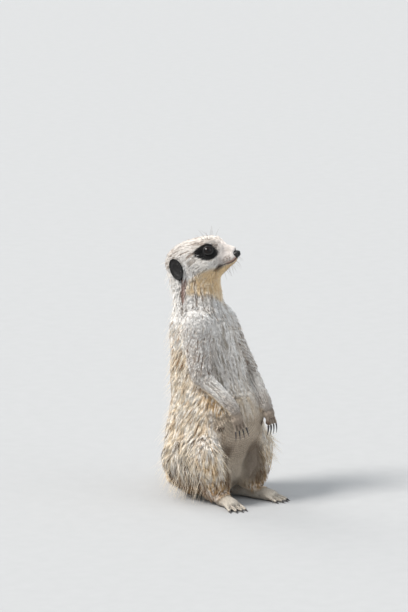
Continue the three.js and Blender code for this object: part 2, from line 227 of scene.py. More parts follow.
# Each region's tufts: length, depth of the coat, width, tufts in a square millimetre, colour, colour of
# the dark locks, their share, and the piece of the coat that they belong to.
REGIONS = {
    "crown": (4.4, 1.2, 0.46, 2.8, CROWN_GREY, BROWN, 0.30, "head"),
    "bridge": (2.4, 0.6, 0.40, 3.4, MUZZLE_GREY, GREY_BROWN, 0.16, "face"),
    "cheek": (4.0, 1.1, 0.44, 3.0, PALE, GREY_BROWN, 0.26, "face"),
    "muzzle": (2.0, 0.5, 0.38, 4.0, MUZZLE_GREY, GREY_BROWN, 0.16, "face"),
    "chin": (2.4, 0.6, 0.42, 3.2, GOLD, RUST, 0.06, "face"),
    "throat": (4.6, 1.2, 0.46, 2.4, CREAM, ORANGE, 0.0, "neck"),
    "nape": (8.0, 2.2, 0.52, 2.0, WHITE, LIGHT_BROWN, 0.08, "neck"),
    "neck": (6.5, 1.6, 0.48, 2.1, PALE, GREY_BROWN, 0.16, "neck"),
    "back": (14.0, 3.0, 0.60, 1.4, CREAM, BROWN, 0.20, "back"),
    "flank": (14.0, 2.8, 0.58, 1.5, CREAM, LIGHT_BROWN, 0.20, "flank"),
    "chest": (8.5, 1.7, 0.48, 1.9, PALE, GREY_TAN, 0.18, "front"),
    "midriff": (5.0, 1.2, 0.46, 2.4, TAN, GREY_BROWN, 0.10, "front"),
    "belly": (2.4, 0.7, 0.44, 2.8, TAN, BROWN, 0.0, "front"),
    "upper_arm": (5.2, 1.6, 0.46, 2.2, PALE, BROWN, 0.18, "arm"),
    "forearm": (4.6, 1.2, 0.44, 2.5, PALE, GREY_BROWN, 0.10, "arm"),
    "fringe": (12.5, 2.8, 0.50, 2.6, GOLD, LIGHT_BROWN, 0.10, "arm"),
    "hand": (2.4, 0.5, 0.40, 2.6, HAND_BROWN, DARK_BROWN, 0.20, "arm"),
    "haunch": (17.0, 4.2, 0.60, 1.5, CREAM, DARK_BROWN, 0.36, "haunch"),
    "knee": (11.0, 3.0, 0.56, 1.6, BUFF, LIGHT_BROWN, 0.22, "haunch"),
    "shin": (7.5, 2.2, 0.52, 1.7, BUFF, BROWN, 0.24, "haunch"),
    "foot": (2.4, 0.55, 0.42, 2.2, GREY_TAN, GREY_BROWN, 0.15, "foot"),
    "rump": (13.0, 3.6, 0.66, 1.4, BUFF, DARK_BROWN, 0.28, "back"),
    "tail": (8.0, 2.3, 0.52, 1.7, BUFF, BROWN, 0.24, "tail"),
    "tail_tip": (7.5, 2.0, 0.50, 1.9, BLACK, DARK_BROWN, 0.30, "tail"),
}


def make_bones():
    """Lines just under the surface that say which region a place belongs to, and which way its coat lies.

    Each is (region, start, end, size, way, side): a place belongs to the line that is fewest sizes away.
    """
    bones = []

    def bone(region, start, end, size, way=None, side=0, place=at, turn=flip):
        start, end = place(start), place(end)
        bones.append((region, start, end, size, unit(end - start) if way is None else unit(turn(way)), side))

    def head_bone(region, start, end, size, way=(0, -1, 0), side=0):
        bone(region, start, end, size, way, side, in_head, way_in_head)

    head_bone("crown", (0, -26, 8), (0, 14, 9), 11)
    head_bone("bridge", (0, 22, 5), (0, 36, -1), 6)
    head_bone("chin", (0, 35, -12.5), (0, 18, -19), 5, (0, -1, -0.3))
    head_bone("throat", (0, 10, -22), (0, 2, -28), 9, (0, -0.6, -1))
    head_bone("nape", (0, -30, 0), (0, -34, -16), 9, (0, -0.5, -1))
    for side in SIDE_NAMES:
        head_bone("cheek", (15 * side, -8, -6), (13 * side, 14, -6), 8, (0.15 * side, -1, -0.25), side)
        head_bone("muzzle", (6 * side, 22, -7), (4 * side, 35, -9), 6, (0.15 * side, -1, -0.1), side)
        head_bone("throat", (11 * side, 6, -17), (12 * side, -6, -19), 7, (0, -1, -0.6), side)
        bone("neck", (19 * side, -19, 224), (21 * side, -14, 190), 12, None, side)
    bone("throat", (6, 0, 214), (5, 2, 205), 10, (0, -0.1, -1))
    bone("neck", (2, 4, 200), (0, 8, 184), 12)
    bone("nape", (0, -38, 222), (0, -34, 190), 12)
    bone("back", (0, -34, 186), (0, -36, 120), 16, (0, -0.12, -1))
    bone("back", (0, -36, 120), (0, -38, 62), 18, (0, -0.18, -1))
    bone("rump", (0, -36, 50), (0, -40, 14), 18, (0, -0.35, -1))
    bone("chest", (0, 10, 178), (0, 30, 112), 15)
    bone("midriff", (0, 38, 104), (0, 44, 90), 15)
    bone("belly", (0, 44, 76), (0, 34, 40), 20)
    for side in SIDE_NAMES:
        arm, foot = ARMS[side], FEET[side]
        shoulder, elbow, wrist, knuckles = (np.array(place, float) for place in arm.values())
        bone("flank", (27 * side, -16, 172), (32 * side, -6, 118), 14, (0, -0.28, -1), side)
        bone("flank", (34 * side, -4, 112), (38 * side, 2, 76), 15, (0, -0.38, -1), side)
        bone("upper_arm", shoulder, elbow, 12, unit(elbow - shoulder) + (0, -0.3, 0), side)
        bone("forearm", elbow, wrist, 8, None, side)
        low_arm = elbow * 0.2 + wrist * 0.8
        bone("fringe", elbow + (-2.5, -6.5, -6), low_arm + (-2.5, -4, -6.5), 5, (0, -0.2, -1), side)
        tips = knuckles + unit(knuckles - wrist) * 12
        bone("hand", wrist, tips, 6, None, side)
        bone("haunch", (42 * side, -18, 62), (40 * side, -12, 14), 16, (0.02 * side, -0.24, -1), side)
        bone("haunch", (40 * side, 6, 60), (42 * side, 8, 18), 15, (0.02 * side, 0.05, -1), side)
        bone("knee", (36 * side, 34, 62), (34 * side, 40, 40), 11, (0, 0.1, -1), side)
        bone("belly", (22 * side, 30, 62), (18 * side, 36, 40), 10, (0, 0.1, -1), side)
        bone("shin", (32 * side, 38, 32), (26 * side, 38, 16), 10, (0, 0.15, -1), side)
        bone("foot", foot["heel"], foot["instep"], 7, None, side)
        toes = np.array(foot["ball"]) + unit(np.array(foot["ball"]) - foot["instep"]) * 16
        bone("foot", foot["instep"], toes, 7, None, side)
    last = len(TAIL_COURSE) - 1
    for i in range(1, last):
        bone("tail_tip" if i == last - 1 else "tail", TAIL_COURSE[i], TAIL_COURSE[i + 1], 10 - i)
    return bones


BONES = make_bones()
REGION_NAMES = list(REGIONS)
BONE_REGION = np.array([REGION_NAMES.index(bone[0]) for bone in BONES])
BONE_LENGTHS = np.array([np.linalg.norm(bone[2] - bone[1]) for bone in BONES])
BONE_SIZES = np.array([bone[3] for bone in BONES], float)
BONE_WAYS = np.array([bone[4] for bone in BONES])
MEASURES = np.array([REGIONS[name][:4] for name in REGION_NAMES], float)
COLOURS = np.array([REGIONS[name][4] for name in REGION_NAMES])
DARKS = np.array([REGIONS[name][5] for name in REGION_NAMES])
DARK_SHARES = np.array([REGIONS[name][6] for name in REGION_NAMES])


def lie_of(points, nearest):
    """The turn of places round their bone, in radians, and how far along it they lie."""
    turn, along = np.empty(len(points)), np.empty(len(points))
    for i, (_, start, end, _, _, _) in enumerate(BONES):
        mine = nearest == i
        axis = unit(end - start)
        side = unit(np.cross(axis, (0.31, 0.17, 0.93)))
        offset = points[mine] - start
        turn[mine] = np.arctan2(offset @ np.cross(axis, side), offset @ side)
        along[mine] = offset @ axis
    return turn, along


def ranked(values):
    """The share of all the values that are below each one."""
    return np.argsort(np.argsort(values)) / len(values)


class Coat:
    """What the coat is like at many places at once."""

    FALLOFF = 7

    def __init__(self, points):
        far = [to_segment(points, start, end)[0] / size for _, start, end, size, _, _ in BONES]
        far = np.stack(far, axis=1)
        self.points = points
        self.nearest = far.argmin(axis=1)
        weights = (far + 0.05) ** -self.FALLOFF
        weights /= weights.sum(axis=1, keepdims=True)
        self.length, self.depth, self.width, self.density = (weights @ MEASURES[BONE_REGION]).T
        self.way = weights @ BONE_WAYS
        self.region_weights = np.zeros((len(points), len(REGION_NAMES)))
        for i, region in enumerate(BONE_REGION):
            self.region_weights[:, region] += weights[:, i]
        # Fewer dark locks high on the back, flanks and upper arms: partly their own paler fur, partly painted
        # light on the tops of the shoulders.
        high = ease(158, 182, body_measure(points)[:, 2])
        paler_and_lit_top = 0.7 * high * self.share_of("back", "flank", "upper_arm")
        self.dark_share = self.region_weights @ DARK_SHARES * (1 - paler_and_lit_top)
        self.dark = self.region_weights @ DARKS
        self.turn, self.along = lie_of(points, self.nearest)
        self.across = self.turn * BONE_SIZES[self.nearest]
        self.colour = markings(points, self.region_weights @ COLOURS, self)

    def streaks(self, wide, long, seed):
        """Noise from -1 to 1 drawn out along the lie of the coat."""
        way = BONE_WAYS[self.nearest]
        along = np.sum(self.points * way, axis=1, keepdims=True)
        return grain(self.points / wide + way * along * (1 / long - 1 / wide), 1, seed)

    def share_of(self, *regions):
        return sum(self.region_weights[:, REGION_NAMES.index(region)] for region in regions)


# One side of the mouth's line, as (left, forward, up) on the head, from the middle to the corner.
MOUTH = [
    (0.6, 41.2, -11.2),
    (3.2, 38.4, -11.8),
    (5.0, 34.5, -12.6),
    (6.4, 30, -13.4),
    (7.8, 25.5, -13.8),
    (9.2, 20.5, -13.4),
    (10.2, 16.5, -12.8),
]
# How far forward the whiskers' roots lie, for each height on the head.
WHISKER_ROWS = {-6.4: (29, 32), -8.4: (27, 30, 33), -10.4: (26, 29, 32)}
WHISKER_ROOTS = [(forward, up) for up, row in WHISKER_ROWS.items() for forward in row]
NIPPLES = [(-26, 79.2), (25, 79.2), (-14.6, 48), (15, 48)]  # (left, up) on the front of the belly
RINGS_AT = (-9, 48, 92)  # the middle of the belly's rings of ticking
RING_PITCH = 2.7


def eye_patch(head):
    """How far inside the dark patch round an eye a place lies, from 0 to 1."""
    side, forward, up = head.T
    long = (forward - 15) / 11
    tall = (up - 4.4 + 0.2 * (forward - 15)) / 8.2
    pinch = 1 + 0.55 * np.clip(-long, 0, 1) ** 1.5
    edge = np.hypot(long, tall * pinch)
    return (1 - ease(0.88, 1.04, edge)) * ease(4.5, 7, np.abs(side))


def to_nipples(points):
    """How far places lie from the nearest nipple, as seen from the front."""
    left, forward, up = body_measure(points).T
    far = [np.hypot(left - nipple[0], up - nipple[1]) for nipple in NIPPLES]
    return np.min(far, axis=0) + 99 * (forward < 20)


def under_forearm(points):
    """How far below and behind the middle line of the nearer forearm places lie."""
    low = np.full(len(points), -99.0)
    for arm in ARMS.values():
        elbow, wrist = at(arm["elbow"]), at(arm["wrist"])
        share = np.clip(to_segment(points, elbow, wrist)[1], 0, 1)
        offset = points - elbow - share[:, None] * (wrist - elbow)
        near = np.linalg.norm(offset, axis=1) < 18
        low = np.where(near, np.maximum(low, offset @ flip((0, -0.6, -0.8))), low)
    return low


def ticks(points, coat):
    """How dark the fine waves of ticking are: across the upper arms and neck, and in rings on the belly."""
    left, forward, up = body_measure(points).T
    lumps = grain(points, 5, 8)
    slant = up + 0.45 * (np.abs(left) + forward)
    arms = ease(0, 0.9, np.sin(2 * np.pi * slant / 3.1 + 3.4 * lumps)) * coat.share_of("upper_arm")
    # Fainter ticking high on the upper arms: partly their own paler fur, partly painted light on the tops of
    # the shoulders.
    arms = arms * (0.3 + 0.7 * ease(184, 168, up))
    ruff = ease(0, 0.9, np.sin(2 * np.pi * up / 2.9 + 2.6 * lumps)) * coat.share_of("neck", "throat")
    ring = np.linalg.norm(points - at(RINGS_AT), axis=1)
    rings = ease(-0.5, 0.7, np.sin(2 * np.pi * ring / RING_PITCH + 1.2 * lumps))
    rings = rings * coat.share_of("belly") * ease(58, 46, ring)
    return np.clip(0.75 * arms + 0.2 * ruff + 0.8 * rings, 0, 1)


def markings(points, colour, coat):
    body, head = body_measure(points), head_measure(points)
    left, forward, up = body.T
    side, ahead, above = head.T
    lumps = grain(points, 5, 1)
    on_head = coat.share_of("crown", "bridge", "cheek", "muzzle", "chin", "throat", "nape")

    def lay(tint, mask):
        nonlocal colour
        colour = colour + (tint - colour) * np.clip(mask, 0, 1)[:, None]

    # The back's cross bands, and the warmer side of the haunch, with painted shade darkening its lower part.
    behind = coat.share_of("back", "rump")
    bands = ease(0.15, 0.75, np.sin(2 * np.pi * (up + 3 * lumps + 0.06 * left**2) / 15.5))
    lay(BROWN, 0.75 * bands * behind * ease(150, 125, up) * ease(4, -20, forward))
    lay(BUFF, 0.5 * coat.share_of("back", "flank") * ease(0, 0.7, grain(points, 14, 2)))
    # Whiter high on the back, flanks, upper arms and neck: partly their own paler fur, partly painted light
    # on the tops of the shoulders.
    lay(WHITE, 0.8 * coat.share_of("back", "flank", "upper_arm", "neck") * ease(146, 168, up))
    # Painted shade: brown darkening the haunch and rump towards the bottom.
    lay(PAINTED_SHADE_BROWN, 0.9 * coat.share_of("haunch", "rump") * ease(54, 18, up))
    lay(GOLD, 0.35 * coat.share_of("haunch", "knee", "rump") * ease(0.0, 0.8, grain(points, 14, 3)))
    lay(ORANGE, 0.55 * coat.share_of("haunch", "rump", "shin", "knee") * ease(32, 12, up))
    lay(WHITE, 0.6 * coat.share_of("knee") * ease(46, 62, up))

    # Under the breast, and the nipples.
    lay(TAN, 0.4 * coat.share_of("chest") * ease(134, 118, up))
    for arm in ARMS.values():
        hand = np.linalg.norm(points - at(arm["wrist"]), axis=1)
        lay(HAND_BROWN, 0.6 * coat.share_of("forearm", "fringe") * ease(24, 4, hand))
    lay(DARK_BROWN, 0.9 * ease(3.0, 1.6, to_nipples(points)))
    # A grey-brown patch on the inner thighs, between the belly and the knees: partly their own darker fur,
    # partly painted shade in the crease.
    inner_thigh_and_crease_shade = ease(32, 26, np.abs(left)) * ease(8, 14, np.abs(left)) * ease(24, 34, forward)
    lay(GREY_BROWN, 0.8 * inner_thigh_and_crease_shade * ease(66, 54, up) * ease(14, 26, up))

    # The neck: gold under the jaw, grey below, with a red-brown streak under each ear.
    neck = coat.share_of("neck", "throat", "nape", "cheek")
    lay(JAW, 0.9 * neck * ease(207, 213, up + 1.5 * lumps) * ease(-17, -11, forward) * ease(-10, -14, above))
    lay(GREY, 0.4 * coat.share_of("neck", "throat") * ease(209, 203, up) * ease(-22, -12, forward))
    lay(GOLD, 0.7 * coat.share_of("fringe", "forearm") * ease(0, 5, under_forearm(points)))
    streak, _ = to_segment(body * (0, 1, 1), (0, -18.5, 224), (0, -17.5, 203))
    lay(RUST, 0.75 * ease(3.8, 1.2, streak + 1.2 * lumps) * ease(11, 15, np.abs(left)))

    # The face.
    half = mirrored(head)
    mouth = to_line(half, np.array(MOUTH, float))
    line_up = np.interp(ahead, *np.array(MOUTH)[::-1, 1:].T)
    below = ease(line_up - 0.4, line_up - 1.8, above) * ease(10, 16, ahead)
    lay(JAW, 0.85 * below * on_head)
    lay(JAW, 0.8 * on_head * ease(-13, -17, above) * ease(-18, -10, ahead))
    lips = ease(4.2, 1.2, mouth) * on_head
    lay(RUST, 0.8 * lips * ease(25, 33, ahead + 1.5 * lumps) * ease(line_up - 1.4, line_up, above))
    lay(DARK_BROWN, 0.8 * lips * ease(26, 21, ahead) * ease(12, 15, ahead))
    lay(BLACK, 0.85 * ease(1.3, 0.5, mouth))
    for spot in WHISKER_ROOTS:
        lay(DARK_BROWN, 0.7 * ease(1.2, 0.6, np.hypot(ahead - spot[0], above - spot[1])) * on_head)
    line, _ = to_segment(half * (0, 1, 1), (0, 5, 7.4), (0, -12, 4.5))
    lay(BROWN, 0.6 * on_head * ease(2.0, 0.6, line + 0.5 * lumps) * ease(8, 12, np.abs(side)))
    lay(BLACK, np.clip(eye_patch(head + 0.7 * lumps[:, None] * (0, 1, 1)), 0, 1) * ease(-8, 0, ahead))
    ear = np.linalg.norm((half - EAR_AT) / (1.4, 0.75, 1.35), axis=1)
    lay(BLACK, ease(8.6, 6.6, ear))
    return np.clip(colour, 0.002, 1)


# ------------------------------------------------------------------ meshes


def object_from(name, vertices, faces, smooth=True):
    """A Blender object from points in millimetres and a list or array of faces."""
    mesh = bpy.data.meshes.new(name)
    if isinstance(faces, np.ndarray):
        count, sides = faces.shape
        mesh.vertices.add(len(vertices))
        mesh.vertices.foreach_set("co", (vertices * MM).astype(np.float32).ravel())
        mesh.loops.add(faces.size)
        mesh.loops.foreach_set("vertex_index", faces.astype(np.int32).ravel())
        mesh.polygons.add(count)
        mesh.polygons.foreach_set("loop_start", np.arange(0, count * sides, sides, dtype=np.int32))
        mesh.update(calc_edges=True)
    else:
        mesh.from_pydata((np.asarray(vertices) * MM).tolist(), [], faces)
    mesh.polygons.foreach_set("use_smooth", np.full(len(mesh.polygons), smooth))
    mesh.update()
    thing = bpy.data.objects.new(name, mesh)
    bpy.context.scene.collection.objects.link(thing)
    return thing


def points_of(mesh):
    flat = np.empty(len(mesh.vertices) * 3, np.float32)
    mesh.vertices.foreach_get("co", flat)
    return flat.reshape(-1, 3).astype(float) / MM


def triangles_of(mesh):
    mesh.calc_loop_triangles()
    flat = np.empty(len(mesh.loop_triangles) * 3, np.int32)
    mesh.loop_triangles.foreach_get("vertices", flat)
    return flat.reshape(-1, 3)


def edges_of(mesh):
    flat = np.empty(len(mesh.edges) * 2, np.int32)
    mesh.edges.foreach_get("vertices", flat)
    return flat.reshape(-1, 2)


def normals_of(points, triangles):
    a, b, c = points[triangles].transpose(1, 0, 2)
    faces = np.cross(b - a, c - a)
    total = np.zeros_like(points)
    for corner in range(3):
        for axis in range(3):
            total[:, axis] += np.bincount(triangles[:, corner], faces[:, axis], len(points))
    return unit(total)


def puller(edges, size):
    """A function that gives each point's way to the middle of its neighbours."""
    a, b = edges.T
    count = np.bincount(np.concatenate([a, b]), minlength=size)[:, None]

    def pull(points):
        total = np.empty_like(points)
        for axis in range(3):
            total[:, axis] = np.bincount(a, points[b, axis], size)
            total[:, axis] += np.bincount(b, points[a, axis], size)
        return total / count - points

    return pull


def relax(points, edges, rounds, strength):
    """Smooths a net of points without shrinking it."""
    KEEP = -1.04
    pull = puller(edges, len(points))
    strength = np.broadcast_to(strength, len(points))[:, None]
    for step in range(2 * rounds):
        points = points + pull(points) * strength * (1 if step % 2 == 0 else KEEP)
    return points


def soften(points, edges, rounds, strength):
    """Smooths a net of points by drawing each towards its neighbours."""
    pull = puller(edges, len(points))
    strength = np.broadcast_to(strength, len(points))[:, None]
    for _ in range(rounds):
        points = points + pull(points) * strength
    return points


def fill_creases(points, edges, triangles, rounds, where):
    """Raises the bottoms of creases until they are shallow, and leaves the rest."""
    FRESH_NORMALS = 8
    pull = puller(edges, len(points))
    for step in range(rounds):
        if step % FRESH_NORMALS == 0:
            normals = normals_of(points, triangles)
        rise = np.sum(pull(points) * normals, axis=1)
        points = points + normals * (np.maximum(rise, 0) * where)[:, None]
    return points


def corners_of(mesh):
    """The vertex at each corner of each face."""
    flat = np.empty(len(mesh.loops), np.int32)
    mesh.loops.foreach_get("vertex_index", flat)
    return flat


def add_map(mesh, name, places):
    """A UV map from a place for each corner of each face."""
    mesh.uv_layers.new(name=name).data.foreach_set("uv", places.astype(np.float32).ravel())


def set_points(mesh, points):
    mesh.vertices.foreach_set("co", (points * MM).astype(np.float32).ravel())
    mesh.update()


def store(mesh, name, values):
    """Keeps a number or a colour for each vertex, for the material."""
    if values.ndim == 1:
        mesh.attributes.new(name, "FLOAT", "POINT").data.foreach_set("value", values.astype(np.float32))
        return
    colours = np.ones((len(values), 4), np.float32)
    colours[:, :3] = values
    mesh.color_attributes.new(name, "FLOAT_COLOR", "POINT").data.foreach_set("color", colours.ravel())


# ------------------------------------------------------------------ skin

VOXEL = 1.15
FACE_BOX = ((-24, -4, -20), (24, 48, 30))  # on the head, round all that has fine forms
SUNK = 0.8  # how much of the coat's depth the skin lies inside the solids


def flesh_shell():
    """The flesh nodes as one closed mesh, with their cuts healed."""
    vertices, faces, first = [], [], 0
    for name in FLESH:
        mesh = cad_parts[name].data
        vertices.append(points_of(mesh))
        faces.append(triangles_of(mesh) + first)
        first += len(mesh.vertices)
    rough = object_from("skin", np.concatenate(vertices), np.concatenate(faces))
    remesh = rough.modifiers.new("heal", "REMESH")
    remesh.mode = "VOXEL"
    remesh.voxel_size = VOXEL * MM
    bpy.context.view_layer.update()
    whole = bpy.data.meshes.new_from_object(rough.evaluated_get(bpy.context.evaluated_depsgraph_get()))
    rough.modifiers.clear()
    rough.data = whole
    keep_largest(rough)
    return rough


def keep_largest(thing):
    net = bmesh.new()
    net.from_mesh(thing.data)
    net.verts.ensure_lookup_table()
    seen, islands = set(), []
    for start in net.verts:
        if start.index in seen:
            continue
        seen.add(start.index)
        island, open_ends = [start], [start]
        while open_ends:
            for edge in open_ends.pop().link_edges:
                for other in edge.verts:
                    if other.index not in seen:
                        seen.add(other.index)
                        island.append(other)
                        open_ends.append(other)
        islands.append(island)
    islands.sort(key=len)
    for island in islands[:-1]:
        bmesh.ops.delete(net, geom=island, context="VERTS")
    net.to_mesh(thing.data)
    net.free()


def refine(thing):
    """Four times as many faces on the front of the head and on the digits."""
    net = bmesh.new()
    net.from_mesh(thing.data)
    points = points_of(thing.data)
    head = head_measure(points)
    low, high = FACE_BOX
    fine = np.all((head > low) & (head < high), axis=1)
    for groove in GROOVES:
        fine |= to_segment(points, *groove)[0] < 4.5
    edges = [edge for edge in net.edges if all(fine[vertex.index] for vertex in edge.verts)]
    bmesh.ops.subdivide_edges(net, edges=edges, cuts=1, use_grid_fill=True)
    net.to_mesh(thing.data)
    net.free()


DIGITS = 4
FINGER_LENGTH, FINGER_SPREAD, HAND_WIDTH = 10, 0.09, 9.6
TOE_LENGTH, TOE_SPREAD, FOOT_WIDTH = 15, 0.12, 13
PALMS = {-1: (0.3, -1, 0), 1: (-0.1, -1, 0)}


def digit_lines(centre, ahead, flat, width, spread, length):
    """The middle lines of a paw's digits, which leave it like a fan."""
    across = unit(np.cross(flat, ahead))
    lines = []
    for i in range(DIGITS):
        root = centre + across * width * (0.5 - i / (DIGITS - 1))
        angle = spread * ((DIGITS - 1) / 2 - i)
        way = ahead * np.cos(angle) + np.cross(flat, ahead) * np.sin(angle)
        lines.append((root, root + way * length))
    return lines


def paw_digits():
    paws = []
    for side in SIDE_NAMES:
        wrist, knuckles = at(ARMS[side]["wrist"]), at(ARMS[side]["knuckles"])
        ahead = unit(knuckles - wrist)
        back = -unit(flip(PALMS[side]))
        paws.append(digit_lines(knuckles, ahead, back, HAND_WIDTH, FINGER_SPREAD, FINGER_LENGTH))
        instep, ball = at(FEET[side]["instep"]), at(FEET[side]["ball"])
        ahead = unit((ball - instep) * (1, 1, 0))
        top = np.array((0, 0, 1.0))
        paws.append(digit_lines(ball, ahead, top, FOOT_WIDTH, TOE_SPREAD, TOE_LENGTH))
    return paws


PAWS = paw_digits()
GROOVES = [
    (0.4 * (a[0] + b[0]) + 0.1 * (a[1] + b[1]), 0.55 * (a[1] + b[1]) - 0.05 * (a[0] + b[0]))
    for digits in PAWS
    for a, b in zip(digits, digits[1:])
]


def part_digits(points, normals):
    """Presses a groove between each two digits."""
    DEEP, WIDE = 1.5, 0.75
    for start, end in GROOVES:
        far, share = to_segment(points, start, end)
        line = start + np.clip(share, 0, 1)[:, None] * (end - start)
        offset = points - line
        flat = offset - normals * np.sum(offset * normals, axis=1, keepdims=True)
        press = np.exp(-((np.linalg.norm(flat, axis=1) / WIDE) ** 2)) * (far < 6) * ease(-0.1, 0.3, share)
        points = points - normals * (DEEP * press)[:, None]
    return points


def open_eyes(points):
    """Draws the skin round each eyeball into a lid, and under it where the eye is open."""
    LID, FOLD = 0.75, 0.6
    for side in SIDE_NAMES:
        centre = in_head(np.array(EYE_AT) * (side, 1, 1))
        offset = points - centre
        far = np.linalg.norm(offset, axis=1)
        angle, rim = eye_angles(offset, side)
        past = angle - rim
        near = far < EYE_RADIUS * 2.4
        lid = EYE_RADIUS + LID * ease(-0.05, 0.12, past) - FOLD * ease(0.35, 0.5, past) * ease(0.7, 0.5, past)
        hidden = EYE_RADIUS - 1.2
        target = np.where(past < 0, hidden, lid)
        pull = np.where(past < 0, 1.0, ease(0.75, 0.3, past)) * near
        points = points + unit(offset) * (pull * (target - far))[:, None]
    return points


def eye_axes(side):
    look = way_in_head(unit(np.array(EYE_LOOK)) * (side, 1, 1))
    up = way_in_head((0, 0, 1.0))
    up = unit(up - look * (up @ look))
    return look, up, np.cross(up, look)


EYE_LONG, EYE_TALL = np.radians(54), np.radians(38)  # how far from its look an eye is open


def lid_rim(turn):
    """How far from its look an eye is open, for each turn round it."""
    return 1 / np.hypot(np.cos(turn) / EYE_LONG, np.sin(turn) / EYE_TALL)


def eye_angles(offset, side):
    """How far offsets from an eye's middle turn from its look, and how far it is open that way."""
    look, up, across = eye_axes(side)
    ways = unit(offset)
    angle = np.arccos(np.clip(ways @ look, -1, 1))
    return angle, lid_rim(np.arctan2(ways @ up, ways @ across))


def press_mouth(points, normals):
    DEEP, WIDE = 0.9, 0.75
    mouth = to_line(mirrored(head_measure(points)), np.array(MOUTH, float))
    return points - normals * (DEEP * np.exp(-((mouth / WIDE) ** 2)))[:, None]


def raise_nipples(points, normals):
    HIGH, WIDE = 1.5, 1.6
    return points + normals * (HIGH * np.exp(-((to_nipples(points) / WIDE) ** 2)))[:, None]


NECK = ("neck", "nape", "throat")


def make_skin():
    skin = flesh_shell()
    refine(skin)
    mesh = skin.data
    points, edges, triangles = points_of(mesh), edges_of(mesh), triangles_of(mesh)
    coat = Coat(points)
    up = body_measure(points)[:, 2]
    body = coat.share_of("back", "flank", "chest", "belly", "haunch", "knee", "rump", *NECK, "shin")
    arms = coat.share_of("upper_arm", "forearm", "fringe")
    skull = coat.share_of("crown", "cheek")
    points = relax(points, edges, 6, 0.5)
    points = relax(points, edges, 60, 0.5 * np.clip(body + 0.7 * arms + 0.35 * skull, 0, 1))
    shoulders = coat.share_of("upper_arm", "flank", "chest", "back", "neck", "nape")
    shoulders = shoulders * ease(118, 150, up)
    haunches = coat.share_of("haunch", "flank", "back", "rump", "belly", "knee") * ease(96, 84, up)
    points = fill_creases(points, edges, triangles, 200, 0.9 * np.clip(shoulders + 0.3 * haunches, 0, 1))
    points = soften(points, edges, 14, 0.5 * np.clip(body + shoulders, 0, 1))
    normals = normals_of(points, triangles)
    points = points - normals * (SUNK * coat.depth)[:, None]
    points = soften(points, edges, 4, 0.4 * np.clip(body + arms, 0, 1))
    points = part_digits(points, normals_of(points, triangles))
    points = raise_nipples(points, normals_of(points, triangles))
    points = open_eyes(points)
    points = press_mouth(points, normals_of(points, triangles))
    points[:, 2] = np.maximum(points[:, 2], 0)
    set_points(mesh, points)
    mesh.polygons.foreach_set("use_smooth", np.full(len(mesh.polygons), True))
    coat = Coat(points)
    # The skin darkens where the coat over it is long: painted shade under the coat.
    under = 1 - 0.4 * ease(3, 8, coat.length)
    dark = (0.75 * ticks(points, coat))[:, None]
    store(mesh, "coat_colour", (coat.colour + (coat.dark - coat.colour) * dark) * under[:, None])
    lay_of_coat(mesh, coat)
    mesh.materials.clear()
    return dress(skin, "skin", "coat", *FLESH)


def lay_of_coat(mesh, coat):
    """A UV map whose V runs along the lie of the coat and U across it, in centimetres."""
    add_map(mesh, "lie", np.stack([coat.across, coat.along], axis=1)[corners_of(mesh)] * 0.1)


# ------------------------------------------------------------------ tufts

PATCH = 0.003


def unwrap(coat):
    """Where places lie on a flat map of the skin: each bone's stretch has its own square of the map."""
    MARGIN, EDGE = 14, 0.04
    lengths = BONE_LENGTHS[coat.nearest]
    turn = coat.turn / (2 * np.pi) + 0.5
    along = np.clip((coat.along + MARGIN) / (lengths + 2 * MARGIN), 0, 1)
    bones, order = np.unique(coat.nearest, return_inverse=True)
    cells = int(np.ceil(np.sqrt(len(bones))))
    cell = np.stack(divmod(order, cells), axis=1)
    return (cell + EDGE + (1 - 2 * EDGE) * np.stack([turn, along], axis=1)) / cells


def scatter(points, triangles, density):
    """Evenly spread places on a surface, with so many in each square millimetre."""
    corners = points[triangles]
    area = np.linalg.norm(np.cross(corners[:, 1] - corners[:, 0], corners[:, 2] - corners[:, 0]), axis=1) / 2
    heap = np.cumsum(area * density)
    count = int(heap[-1])
    picks = np.searchsorted(heap, (np.arange(count) + random.random(count)) * heap[-1] / count)
    u, v = random.random((2, count))
    over = u + v > 1
    u[over], v[over] = 1 - u[over], 1 - v[over]
    return picks, np.stack([1 - u - v, u, v], axis=1)


def bare(points):
    """How bare of coat a place is: within the lids, under the nose pad, in the mouth, and on the pads."""
    head = head_measure(points)
    result = np.zeros(len(points))
    for side in SIDE_NAMES:
        offset = points - in_head(np.array(EYE_AT) * (side, 1, 1))
        angle, rim = eye_angles(offset, side)
        close = np.linalg.norm(offset, axis=1) < EYE_RADIUS * 1.6
        result = np.maximum(result, close * (angle < rim + 0.16))
    nose = np.linalg.norm((head - NOSE_AT) / (np.array(NOSE_RADII) + 0.3), axis=1)
    result = np.maximum(result, nose < 1)
    result = np.maximum(result, to_line(mirrored(head), np.array(MOUTH, float)) < 0.6)
    result = np.maximum(result, to_nipples(points) < 1.6)
    return np.maximum(result, points[:, 2] < 0.5)


# The three corners of a tuft's foot, the three half way along it, and its tip.
LOWER_FACES = [(0, 2, 1), (0, 1, 4), (0, 4, 3), (1, 2, 5), (1, 5, 4), (2, 0, 3), (2, 3, 5)]
TUFT_FACES = np.array([*LOWER_FACES, (3, 4, 6), (4, 5, 6), (5, 3, 6)])
SHORT_FACES = np.array([(0, 2, 1), (0, 1, 3), (1, 2, 3), (2, 0, 3)])
TUFT_ALONG = np.array([0, 0, 0, 0.5, 0.5, 0.5, 1])
SHORT_ALONG = np.array([0, 0, 0, 1])


